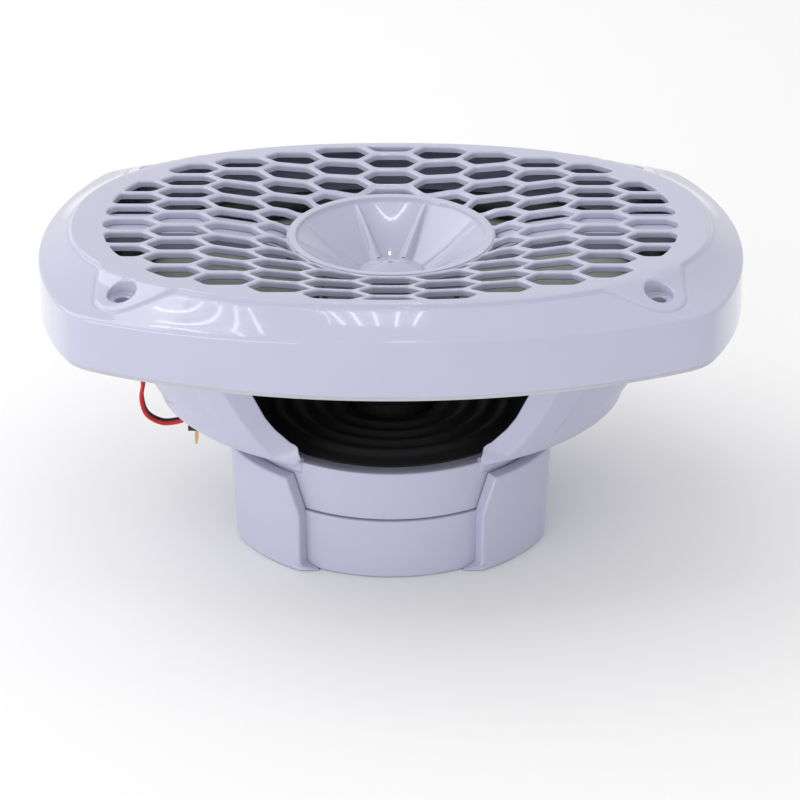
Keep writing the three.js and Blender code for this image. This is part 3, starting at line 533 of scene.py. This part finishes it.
def honeycomb():
    """Every cell of the grille as an even outline with rounded corners."""
    cells = []
    for column in range(-COLUMNS, COLUMNS + 1):
        for row in range(-8, 9):
            cx, cy = column * CELL["pitch_x"], (row + (column % 2) / 2) * CELL["pitch_y"]
            cell = cell_at(cx, cy)
            if len(cell) < 3:
                continue
            whole, cell = outline_area(cell), clear_of_horn(cell)
            if cell is None:
                continue
            area = outline_area(cell)
            smallest = SMALLEST_CUT_CELL if area < 0.99 * whole else SMALLEST_CELL
            if area > smallest:
                cells.append(even_outline(cell, 0.85, min(0.75, math.sqrt(area) / 8)))
    return cells


def cell_loops(cell):
    """A cell's rounded top rim, its wall and its chamfered bottom edge, from the top down."""
    normal = outward(cell)
    surface = panel_z(cell)
    loops = []
    for turn in (0, 22, 45, 68, 90):
        out = RIM_ROUND * (1 - math.sin(math.radians(turn)))
        down = RIM_ROUND * (1 - math.cos(math.radians(turn)))
        loops.append(np.column_stack([cell + normal * out, surface - down]))
    for out, down in ((-0.05, PANEL_THICK - 0.4), (0.3, PANEL_THICK)):
        loops.append(np.column_stack([cell + normal * out, surface - down]))
    return loops


def round_loops(x, y, rows, steps=48):
    """Circles round (x, y), one for each (radius, height or None, drop below the panel)."""
    angles = np.arange(steps) * TAU / steps
    centre = panel_z(np.array([[x, y]]))[0]
    loops = []
    for radius, height, drop in rows:
        circle = np.column_stack([x + radius * np.cos(angles), y + radius * np.sin(angles)])
        if height is None:
            level = panel_z(circle) - drop
        else:
            level = np.full(steps, height if height > 0 else centre + height)
        loops.append(np.column_stack([circle, level]))
    return loops


def screw_hole_loops(x, y):
    hole = SCREW_HOLE
    rim, head, bore, boss = hole["rim"], hole["head"], hole["bore"], hole["boss"]
    rows = [(rim, None, 0), (rim - 0.2, None, 0.08), (head + 0.05, None, 0.3), (head, None, 0.7)]
    rows += [(head - 0.15, -hole["sink"] + 0.4, 0), (head - 0.5, -hole["sink"], 0)]
    rows += [(bore + 0.5, -hole["sink"], 0), (bore, -hole["sink"] - 0.5, 0)]
    rows += [(bore, hole["bottom"] + 0.4, 0), (bore + 0.4, hole["bottom"], 0)]
    rows += [(boss - 0.8, hole["bottom"], 0), (boss - 0.4, hole["bottom"] + 0.4, 0)]
    rows += [(boss, None, PANEL_THICK)]
    return round_loops(x, y, rows)


def horn_seat_loops():
    rim = HORN["rim"]
    rows = [(rim - 0.65, None, 0), (rim - 0.9, None, 0.1)]
    rows += [(rim - 1, None, 0.35), (rim - 1, None, PANEL_THICK)]
    return round_loops(0, 0, rows, 180)


def face_between(outline, holes, extra):
    """Triangles over an outline with holes in it, over the points of all three in that order."""
    flat = np.vstack([outline, *holes, extra])
    edges, owner, first = [], np.full(len(flat), -1), 0
    for number, loop in enumerate([outline, *holes]):
        count = len(loop)
        edges += [(first + i, first + (i + 1) % count) for i in range(count)]
        owner[first : first + count] = number
        first += count
    found = delaunay_2d_cdt([Vector(p) for p in flat], edges, [], 0, 1e-6)
    original = [ids[0] if ids else -1 for ids in found[3]]
    triangles = np.array([[original[i] for i in face] for face in found[2]])
    triangles = triangles[(triangles >= 0).all(1)]
    centres = flat[triangles].mean(1)
    same = (owner[triangles] == owner[triangles[:, :1]]).all(1) & (owner[triangles[:, 0]] >= 0)
    keep = np.ones(len(triangles), bool)
    for number, loop in enumerate([outline, *holes]):
        own = same & (owner[triangles[:, 0]] == number)
        if own.any():
            within = inside(centres[own], loop)
            keep[own] = within if number == 0 else ~within
    return triangles[keep]


def lattice(outline, holes, spacing, clearance):
    """Points spread evenly over an outline, away from its edge and its holes."""
    near = KDTree(sum(len(loop) for loop in [outline, *holes]))
    for number, point in enumerate(np.vstack([outline, *holes])):
        near.insert((*point, 0), number)
    near.balance()
    reach = np.abs(outline).max(0)
    x, y = np.meshgrid(np.arange(-reach[0], reach[0], spacing), np.arange(-reach[1], reach[1], spacing))
    x = x + (np.arange(len(x)) % 2)[:, None] * spacing / 2
    points = np.column_stack([x.ravel(), y.ravel()])
    points = points[inside(points, outline)]
    points = points[[near.find((*p, 0))[2] > clearance for p in points]]
    for hole in holes:
        points = points[~inside(points, hole)]
    return points


def bridge(side):
    """The channel under the honeycomb that covers the leads, as sections along it."""
    half, thick, wall, depth = (BRIDGE[k] for k in ("half", "thick", "side", "depth"))
    inner = half - wall
    section = [(-half, -0.2), (half, -0.2), (half, depth), (inner, depth)]
    section += [(inner, thick), (-inner, thick), (-inner, depth), (-half, depth)]
    rows = []
    for x in np.linspace(BRIDGE["from"], BRIDGE["to"], 24):
        under = panel_z(np.array([[min(x, 102), 0.0]]))[0] - PANEL_THICK
        rows.append([(x * side, y * side, under - drop) for y, drop in section])
    points, faces = grid(rows)
    last = len(points) - len(section)
    caps = [(0, 1, 2, 3), (0, 3, 4, 5), (0, 5, 6, 7)]
    faces += [face[::-1] for face in caps] + [tuple(last + i for i in face) for face in caps]
    return points, faces


def grille():
    angles = np.arange(720) * TAU / 720
    crease_radius = crease_outline(angles)
    crease = np.column_stack([crease_radius * np.cos(angles), crease_radius * np.sin(angles)])
    normal = outward(crease)
    trim = trim_radius(angles)
    direction = np.column_stack([np.cos(angles), np.sin(angles)])

    def at(offset):
        return crease + normal * offset

    def row(flat, level):
        return np.column_stack([flat, np.broadcast_to(level, len(flat))])

    edge = at(-1)
    rows = [row(edge, panel_z(edge))]
    for offset, share in ((-0.6, 0.9), (-0.25, 0.65), (-0.08, 0.35)):
        rows.append(row(at(offset), band_z(at(offset)) + share * panel_step(at(offset))))
    for offset, drop in GROOVE:
        rows.append(row(at(offset), band_z(at(offset)) - drop))
    start, end = at(GROOVE[-1][0]), direction * (trim - SHOULDER_INSET)[:, None]
    for share in np.linspace(0, 1, 9)[1:]:
        flat = start + (end - start) * share
        rows.append(row(flat, band_z(flat)))
    level = band_z(end)
    for turn in (20, 40, 60, 80):
        across, down = math.sin(math.radians(turn)), 1 - math.cos(math.radians(turn))
        flat = direction * (trim - SHOULDER_INSET + SHOULDER_ROUND * across)[:, None]
        rows.append(row(flat, level - 0.3 * across - SHOULDER_ROUND * down))
    for inset, height in (*TRIM_FACE, *TRIM_BACK):
        rows.append(row(direction * (trim - inset)[:, None], height))
    under_end = at(-1)
    start = direction * np.minimum(trim - TRIM_WALL - 1.2, crease_radius + 1)[:, None]
    rows.append(row(start, band_z(start) - TRIM_WALL))
    low = np.minimum(band_z(under_end) - RIM_THICK, panel_z(under_end) - PANEL_THICK)
    rows.append(row(under_end, low))
    parts = [grid(rows), bridge(1), bridge(-1)]

    stacks = [cell_loops(cell) for cell in honeycomb()] + [horn_seat_loops()]
    for sx in (-1, 1):
        for sy in (-1, 1):
            stacks.append(screw_hole_loops(sx * EAR["x"], sy * EAR["y"]))
    holes = [stack[0][:, :2] for stack in stacks]
    extra = lattice(edge, holes, 3, 1.3)
    triangles = face_between(edge, holes, extra)
    top = np.vstack([rows[0], *[stack[0] for stack in stacks], row(extra, panel_z(extra))])
    low = np.minimum(panel_z(extra) - PANEL_THICK, band_z(extra) - RIM_THICK)
    bottom = np.vstack([rows[-1], *[stack[-1] for stack in stacks], row(extra, low)])
    parts.append((top, triangles.tolist()))
    parts.append((bottom, triangles[:, ::-1].tolist()))
    for stack in stacks:
        points, faces = grid(stack)
        parts.append((points, [face[::-1] for face in faces]))
    made = piece("grille_moulding", parts, GLOSS_WHITE)
    weld(made)
    weight = made.modifiers.new("weighted_normals", "WEIGHTED_NORMAL")
    weight.keep_sharp = True
    return made


def weld(obj):
    """Joins the points that lie on each other, so that the parts of one moulding shade as one."""
    work = bmesh.new()
    work.from_mesh(obj.data)
    bmesh.ops.remove_doubles(work, verts=work.verts, dist=2e-6)
    bmesh.ops.recalc_face_normals(work, faces=work.faces)
    work.to_mesh(obj.data)
    work.free()


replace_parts(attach(grille(), "frame"), "grille")


# ---- horn ----
def horn_z(radius):
    share = (radius - HORN["throat"]) / (HORN["lip"] - HORN["throat"])
    return HORN["throat_z"] + (HORN["top"] - 1.5 - HORN["throat_z"]) * np.maximum(share, 0) ** 1.12


def horn():
    centres = (np.arange(FINS) + 0.5) * TAU / FINS
    spread = np.linspace(-1, 1, 37)[:-1]
    spread = np.sign(spread) * np.abs(spread) ** 1.9
    angles = np.concatenate([centre + spread * math.pi / FINS for centre in centres])
    off = np.concatenate([spread * math.pi / FINS] * FINS)
    tall = np.repeat(np.where(np.abs(np.sin(centres)) > 0.5, 1, SIDE_FIN), len(spread))
    rows = []
    for radius in np.linspace(PLUG["radius"] + 0.4, HORN["lip"] - 0.2, 44):
        share = (HORN["lip"] - radius) / (HORN["lip"] - HORN["throat"])
        height = mix(0, 1, share * 12) * (0.5 + 5.6 * share - 3.9 * share**2) * tall
        half = mix(0.55, 2.7, share**0.8)
        ridge = np.maximum(0, 1 - np.abs(radius * np.sin(off) / half) ** 1.7) ** 1.25
        level = horn_z(radius) + height * ridge
        rows.append(np.column_stack([radius * np.cos(angles), radius * np.sin(angles), level]))
    lip, rim, top = HORN["lip"], HORN["rim"], HORN["top"]
    outside = [
        (lip + 0.1, top - 1, 0.3),
        (lip + 0.35, top - 0.12, 0.5),
        (rim, top, 0.35),
        (rim, top - 0.45, 0.1),
        (rim - 1.6, top - 0.45, 0.1),
        (rim - 1.6, horn_z(lip) - 1.9, 0.6),
        (COLLAR["outer"], horn_z(COLLAR["outer"]) - 1.9, 0.6),
        (COLLAR["outer"], COLLAR["bottom"], 0.3),
        (COLLAR["inner"], COLLAR["bottom"], 0.3),
        (COLLAR["inner"], horn_z(COLLAR["inner"]) - 1.9, 0.5),
        (HORN["throat"], HORN["throat_z"] - 1.9, 0.3),
        (PLUG["radius"] + 0.4, HORN["throat_z"] - 0.8, 0.2),
    ]
    for radius, z in refined(filleted(outside, closed=False), 4, closed=False):
        level = np.full(len(angles), z)
        rows.append(np.column_stack([radius * np.cos(angles), radius * np.sin(angles), level]))
    return piece("horn_moulding", [grid(rows, close_rows=True)], GLOSS_WHITE, sharp=50)


def phase_plug():
    radius, edge, top = PLUG["radius"], PLUG["edge"], PLUG["top"]
    section = [
        (0, PLUG["bottom"], 0),
        (radius - 0.8, PLUG["bottom"], 0.2),
        (radius, edge, 0.5),
        (radius * 0.55, edge + (top - edge) * 0.56, 6),
        (1.9, top, 0.8),
        (1.1, top - 0.15, 0.3),
        (0.7, top - 0.8, 0.3),
        (0, top - 0.9, 0),
    ]
    return piece("phase_plug", [turned(refined(filleted(section), 1.5), 96)], GLOSS_WHITE)


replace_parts(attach(horn(), "frame"), "tweeter_horn")
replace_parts(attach(phase_plug(), "frame"), "tweeter_phase_plug")


# ---- cone, surround, spider and tinsel leads ----
def cone_z(radius):
    share = (radius - CONE["neck"]) / (CONE["length"] - CONE["neck"])
    return CONE["neck_z"] + (CONE["rim_z"] - CONE["neck_z"]) * np.maximum(share, 0) ** 0.9


def cone():
    radii = np.linspace(CONE["neck"], CONE["length"], 34)
    thick = CONE["thick"]
    over = [(r, cone_z(r) + thick) for r in radii]
    under = [(r, cone_z(r)) for r in radii[::-1]]
    made = piece("cone_shell", [turned(over + under, 180, cone_warp)], CONE_FRONT, sharp=60)
    made.data.materials.append(CONE_BACK)
    front = (len(over) - 1) * 180
    looks = np.ones(len(made.data.polygons), int)
    looks[:front] = 0
    made.data.polygons.foreach_set("material_index", looks.tolist())
    return made


def dust_cap():
    low, high = span("dust_cap")
    radius = high[0]
    rise = high[2] - low[2]
    over = [(r, high[2] - rise * (r / radius) ** 2) for r in np.linspace(0, radius, 24)]
    under = [(r, z - 0.8) for r, z in over[::-1] if r < radius - 1]
    return piece("dust_cap_shell", [turned(over + under, 120)], CONE_FRONT, sharp=60)


def bend_between(obj):
    """Bakes the piece's placement into its mesh; the piece is not tied to the frame or the cone."""
    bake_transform(obj)
    return obj


def surround():
    seat = span("surround")[0][2]
    roll_in, roll_out = CONE["length"] + 1, BOWL_TOP["length"] - BOWL_WALL - 0.5
    middle, half = (roll_in + roll_out) / 2, (roll_out - roll_in) / 2
    turns = np.linspace(math.pi, 0, 21)
    roll = [(middle + half * math.cos(t), seat + 5.5 * math.sin(t)) for t in turns]
    lip = cone_z(CONE["length"]) + CONE["thick"] + 0.3
    line = np.array([(CONE["length"] - 3.4, lip), *roll, (107, seat)])
    section = np.vstack([line + (0, 0.9), line[::-1]])
    made = piece("surround_roll", [turned(section, 180, surround_warp)], RUBBER, sharp=50)
    return bend_between(made)


def spider():
    low, high = span("spider")
    inner, outer, z = 16.2, high[0], low[2]
    flat_from = SEAT["inner"] - 1
    radii = np.linspace(inner, outer, 90)
    phase = np.clip((radii - inner - 2) / (flat_from - inner - 2), 0, 1)
    line = np.column_stack([radii, z + 0.8 - 0.8 * np.cos(phase * 4 * TAU)])
    section = np.vstack([line + (0, 0.7), line[::-1]])
    made = piece("spider_disc", [turned(section, 144)], CLOTH, sharp=60)
    return bend_between(made)


def tinsel(side):
    node = "tinsel_lead_1" if side < 0 else "tinsel_lead_2"
    route = [(-17, 5, 44.8), (-24, 5.6, 46), (-36, 6, 46.4), (-48, 6, 48), (-57, 6, 46.2)]
    points = [(x, y * side, z) for x, y, z in route]
    made = piece(node + "_braid", [tube(through(points, 0.8), 0.6, 10)], COPPER, sharp=60)
    bend_between(made)
    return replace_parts(made, node)


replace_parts(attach(cone(), "cone_assembly"), "cone")
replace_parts(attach(dust_cap(), "cone_assembly"), "dust_cap")
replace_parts(surround(), "surround")
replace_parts(spider(), "spider")
tinsel(-1)
tinsel(1)


# ---- basket ----
def half_width(edge, z):
    """Half the width of the basket's window at a height."""
    return np.interp(z, *zip(*edge))


def angle_at(radius, limit):
    """The angle at which the bowl's outline is this far from the middle along X."""
    low, high = 0.0, math.pi / 2
    for _ in range(40):
        middle = (low + high) / 2
        if bowl_warp(radius, middle) * math.cos(middle) > limit:
            low = middle
        else:
            high = middle
    return low


def closed_sheet(outer, inner, side):
    """Two grids of points joined round their edges, as one closed wall."""
    def border(sheet):
        return np.concatenate([sheet[0], sheet[1:, -1], sheet[-1, -2::-1], sheet[-2:0:-1, 0]])

    front, back = border(outer), border(inner)
    across = back - front
    across /= np.linalg.norm(across, axis=1)[:, None]
    rows = [front, front + across * 0.4, back - across * 0.4, back]
    parts = [grid(outer, close_columns=False), grid(inner[:, ::-1], close_columns=False), grid(rows)]
    for points, _ in parts:
        points[:, 0] *= side
    return parts


def arm(side):
    """One of the two broad arms, from its end on the belt up to the flange."""
    profile = through(ARM_SECTION, 1.1)
    slope = np.gradient(profile, axis=0)
    slope /= np.linalg.norm(slope, axis=1)[:, None]
    across = np.linspace(-1, 1, 121)
    across = np.sign(across) * (1 - (1 - np.abs(across)) ** 1.4)
    outer, inner = [], []
    for (radius, z), (run, rise) in zip(profile, slope):
        limit = angle_at(radius, half_width(WINDOW_OUTER, z))
        angle = limit * across
        reach = bowl_warp(radius, angle)
        edge = (limit - np.abs(angle)) * reach
        recess = smooth((z - 47) / 5) * smooth((83 - z) / 4) * smooth((edge - 11) / 4)
        soft = 0.7 * np.maximum(0, 1 - edge / 0.9) ** 2
        sunk = 1.3 * recess + soft
        drawn = reach - sunk * rise
        outer.append(np.column_stack([drawn * np.cos(angle), drawn * np.sin(angle), z + sunk * run]))
        limit = angle_at(radius, half_width(WINDOW_INNER, z))
        angle = limit * across
        reach = bowl_warp(radius, angle)
        edge = (limit - np.abs(angle)) * reach
        depth = 2.6 + 2.6 * smooth((5 - edge) / 2.5) * smooth((z - 42) / 4)
        back = reach - depth * rise
        inner.append(np.column_stack([back * np.cos(angle), back * np.sin(angle), z + depth * run]))
    return closed_sheet(np.array(outer), np.array(inner), side)


def belt_warp(z, inset):
    return lambda radius, angle: flat_sided(radius, angle, z, inset)


def belt():
    """The round belt under the window, with the spider's ledge and the motor's floor inside it."""
    radius, bottom, top, wall = (BELT[k] for k in ("radius", "bottom", "top", "wall"))
    inner, high, low = (MOTOR_FLOOR[k] for k in ("inner", "top", "bottom"))
    section = [
        (radius, bottom, 0.5),
        (radius, top, 0.7),
        (radius - wall, top, 0.5),
        (radius - wall - 0.2, SEAT["top"], 0),
        (SEAT["inner"], SEAT["top"], 0.5),
        (SEAT["inner"], high, 0.6),
        (inner, high, 0.4),
        (inner, low, 0.4),
        (radius - wall, low, 0.6),
        (radius - wall, bottom, 0.4),
    ]
    return turned(refined(filleted(section), 3), 180, belt_warp(bottom, 3.4))


def flange():
    inner, outer = BOWL_TOP["length"] - BOWL_WALL, TRIM["length"] - FLANGE["inset"]
    bottom, top = FLANGE["bottom"], FLANGE["bottom"] + FLANGE["thick"]
    section = [(inner, bottom - 1.6, 0.6), (inner + 3.6, bottom - 1.6, 0.8), (inner + 5.2, bottom, 0.8)]
    section += [(outer, bottom, 0.5), (outer, top, 0.5), (inner, top, 0.5)]
    return turned(refined(filleted(section), 3), 240, flange_warp)


def basket():
    made = piece("basket_casting", [belt(), flange(), *arm(1), *arm(-1)], SATIN_WHITE, sharp=36)
    weld(made)
    return made


def gasket():
    low, high = span("mounting_gasket")
    inner, outer = 106.5, TRIM["length"] - 1.4
    section = [(inner, low[2], 0.3), (outer, low[2], 0.4), (outer, high[2], 0.4), (inner, high[2], 0.3)]
    return piece("gasket_foam", [turned(refined(filleted(section), 3), 240, flange_warp)], GASKET_FOAM)


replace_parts(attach(basket(), "frame"), "basket")
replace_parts(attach(gasket(), "frame"), "mounting_gasket")


# ---- magnet cover ----
def cup():
    radius, top, wall, floor = (COVER[k] for k in ("radius", "top", "wall", "floor"))
    section = [(0.01, 0, 0), (radius - 0.4, 0, 0.9), (radius, top, 0.5), (radius - wall, top, 0.4)]
    section += [(radius - wall, floor, 1.2), (34, floor, 0.4), (34, 5.1, 0.4), (26, 5.1, 0.4)]
    section += [(26, floor, 0.4), (0.01, floor, 0)]
    angles = np.arange(240) * TAU / 240
    rows = []
    for reach, z in refined(filleted(section), 4):
        inset = 0 if reach > radius - wall + 0.5 else wall
        warped = flat_sided(reach, angles, z, inset) if reach > 40 else np.full(240, reach)
        rows.append(np.column_stack([warped * np.cos(angles), warped * np.sin(angles), np.full(240, z)]))
    return grid(rows, close_rows=True)


def wing_inner_x(z):
    """How far out the wing's inner edge is at a height: it slants out above the belt line."""
    foot = 5 * (1 - smooth(z / 2.6))
    slant = (z - COVER["top"]) / (WING["top"] - COVER["top"])
    return WING["inner_x"] - foot + mix(0, WING["top_x"] - WING["inner_x"], slant)


def wing(side):
    """One raised side of the cover: a round band with flat sides, as a closed shell."""
    columns = 121
    across = np.linspace(-1, 1, columns)
    across = np.sign(across) * (1 - (1 - np.abs(across)) ** 1.3)
    heights = [0, 0.25, 0.7, 1.3, 2, 2.8, *np.linspace(4, 34.6, 20), 35.3, 35.75, WING["top"]]
    softening = {0: 0.7, 0.25: 0.3, 0.7: 0.05, WING["top"]: 0.8, 35.75: 0.3, 35.3: 0.06}
    outer, inner = [], []
    for z in heights:
        limit = wing_inner_x(z)
        foot = 1 - smooth(z / 2.6)
        low = math.acos(min(1, limit / WING["radius"]))
        angle = low * across
        reach = flat_sided(WING["radius"], angle, z, 0) - softening.get(z, 0)
        edge = (low - np.abs(angle)) * WING["radius"]
        reach = reach - 0.6 * np.maximum(0, 1 - edge / 0.7) ** 2 - foot * 3.4 * np.maximum(0, 1 - edge / 6)
        outer.append(np.column_stack([reach * np.cos(angle), reach * np.sin(angle), np.full(columns, z)]))
        back = flat_sided(WING["inside"], angle, z, 2.9)
        inner.append(np.column_stack([back * np.cos(angle), back * np.sin(angle), np.full(columns, z)]))
    return closed_sheet(np.array(outer), np.array(inner), side)


def magnet_cover():
    made = piece("magnet_cover_moulding", [cup(), *wing(1), *wing(-1)], SATIN_WHITE, sharp=36)
    weld(made)
    return made


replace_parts(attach(magnet_cover(), "frame"), "magnet_cover")


# ---- leads ----
# (x, z) along both leads, from the tweeter to the terminals
LEAD_ROUTE = (
    (-21.4, 78), (-26, 80), (-29.6, 88), (-33, 95), (-41, 99.4), (-58, 102.6), (-80, 104.6),
    (-98, 104.6), (-107.6, 101.6), (-111.6, 94), (-111.6, 84), (-107.4, 76), (-100, 66),
    (-93.4, 56), (-90, 48.6), (-90.8, 41.6), (-89.2, 35), (-84, 31.6), (-78.6, 31.8), (-74.6, 33.2),
)


def lead(node, y, look):
    route = [(x, y, z) for x, z in LEAD_ROUTE]
    made = piece(node + "_wire", [tube(through(route, 1.2), 0.75)], look, sharp=60)
    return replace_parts(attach(made, "frame"), node)


lead("tweeter_lead_red", -1.25, RED_VINYL)
lead("tweeter_lead_black", 1.25, BLACK_VINYL)


# ---- CAD nodes that are shown as they are ----
def dress(node, look, bevel=0.3):
    """A CAD node with its own material, soft edges and smooth round sides."""
    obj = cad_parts[node]
    obj.data.materials.clear()
    obj.data.materials.append(look)
    obj.data.polygons.foreach_set("use_smooth", [True] * len(obj.data.polygons))
    obj.data.set_sharp_from_angle(angle=math.radians(35))
    if bevel:
        edge = obj.modifiers.new("soft_edges", "BEVEL")
        edge.width = bevel * MM
        edge.segments = 2
        edge.limit_method = "ANGLE"
        edge.angle_limit = math.radians(40)
        edge.harden_normals = True


DRESSED = {
    "tweeter_dome": (DOME_FILM, 0),
    "tweeter_voice_coil": (COPPER, 0),
    "tweeter_pole_plate": (STEEL, 0.3),
    "tweeter_magnet": (NICKEL, 0.4),
    "tweeter_yoke": (STEEL, 0.3),
    "tweeter_housing": (DARK_PLASTIC, 0.3),
    "back_plate": (STEEL, 0.3),
    "magnet": (FERRITE, 0.6),
    "top_plate": (STEEL, 0.3),
    "voice_coil_former": (FORMER_FILM, 0),
    "voice_coil": (COPPER, 0),
    "terminal_board": (BOARD, 0.2),
    "terminal_positive": (BRASS, 0.12),
    "terminal_negative": (BRASS, 0.12),
    "crossover_capacitor": (CAP_FILM, 0.5),
}
for name, (look, bevel) in DRESSED.items():
    dress(name, look, bevel)
for number in range(1, 4):
    dress(f"tweeter_screw_{number}", SCREW, 0.15)
for number in range(1, 5):
    dress(f"motor_screw_{number}", SCREW, 0.25)


# ---- floor, light and camera ----
def floor():
    reach = 6
    mesh = bpy.data.meshes.new("floor")
    corners = [(-reach, -reach, 0), (reach, -reach, 0), (reach, reach, 0), (-reach, reach, 0)]
    mesh.from_pydata(corners, [], [(0, 1, 2, 3)])
    mesh.materials.append(material("floor_paper", (0.9, 0.9, 0.9), 0.9, spread=0.004))
    made = bpy.data.objects.new("floor", mesh)
    bpy.context.scene.collection.objects.link(made)
    made.location.z = -0.0002


def area_light(name, place, target, width, height, power, colour=(1, 1, 1)):
    light = bpy.data.lights.new(name, "AREA")
    light.shape = "RECTANGLE"
    light.size, light.size_y = width, height
    light.energy = power
    light.color = colour
    made = bpy.data.objects.new(name, light)
    made.location = place
    made.rotation_euler = (Vector(target) - Vector(place)).to_track_quat("-Z", "Y").to_euler()
    bpy.context.scene.collection.objects.link(made)


def lights():
    world = bpy.data.worlds.new("studio")
    world.use_nodes = True
    sky = world.node_tree.nodes["Background"]
    sky.inputs["Color"].default_value = (1, 1, 1, 1)
    sky.inputs["Strength"].default_value = 0.86
    bpy.context.scene.world = world
    middle = (0, 0, 0.09)
    area_light("key", (-1.1, 0.3, 1.2), middle, 1.4, 1.2, 8)
    area_light("front", (-1.2, -1.5, 0.3), middle, 1.6, 0.6, 11)
    area_light("bulb", (0.02, 0.06, 1.1), middle, 0.04, 0.04, 0.12)
    for number in range(3):
        area_light(f"arc_{number}", (0, -0.1 - 0.045 * number, 1.1), middle, 0.5, 0.004, 0.12)
    for number in range(6):
        area_light(f"streak_{number}", (0.035 - 0.03 * number, 0.46, 1.1), middle, 0.004, 0.16, 0.02)
    for number in range(4):
        area_light(f"side_streak_{number}", (-0.28 - 0.035 * number, 0.4, 1.1), middle, 0.004, 0.16, 0.02)


def camera():
    lens = bpy.data.cameras.new("camera")
    lens.lens = 109.86
    made = bpy.data.objects.new("camera", lens)
    made.location = (0.00319, -0.79104, 0.44461)
    made.rotation_euler = (math.radians(62.93), 0, 0)
    bpy.context.scene.collection.objects.link(made)
    bpy.context.scene.camera = made


floor()
lights()
camera()
bpy.context.scene.view_settings.view_transform = "Standard"
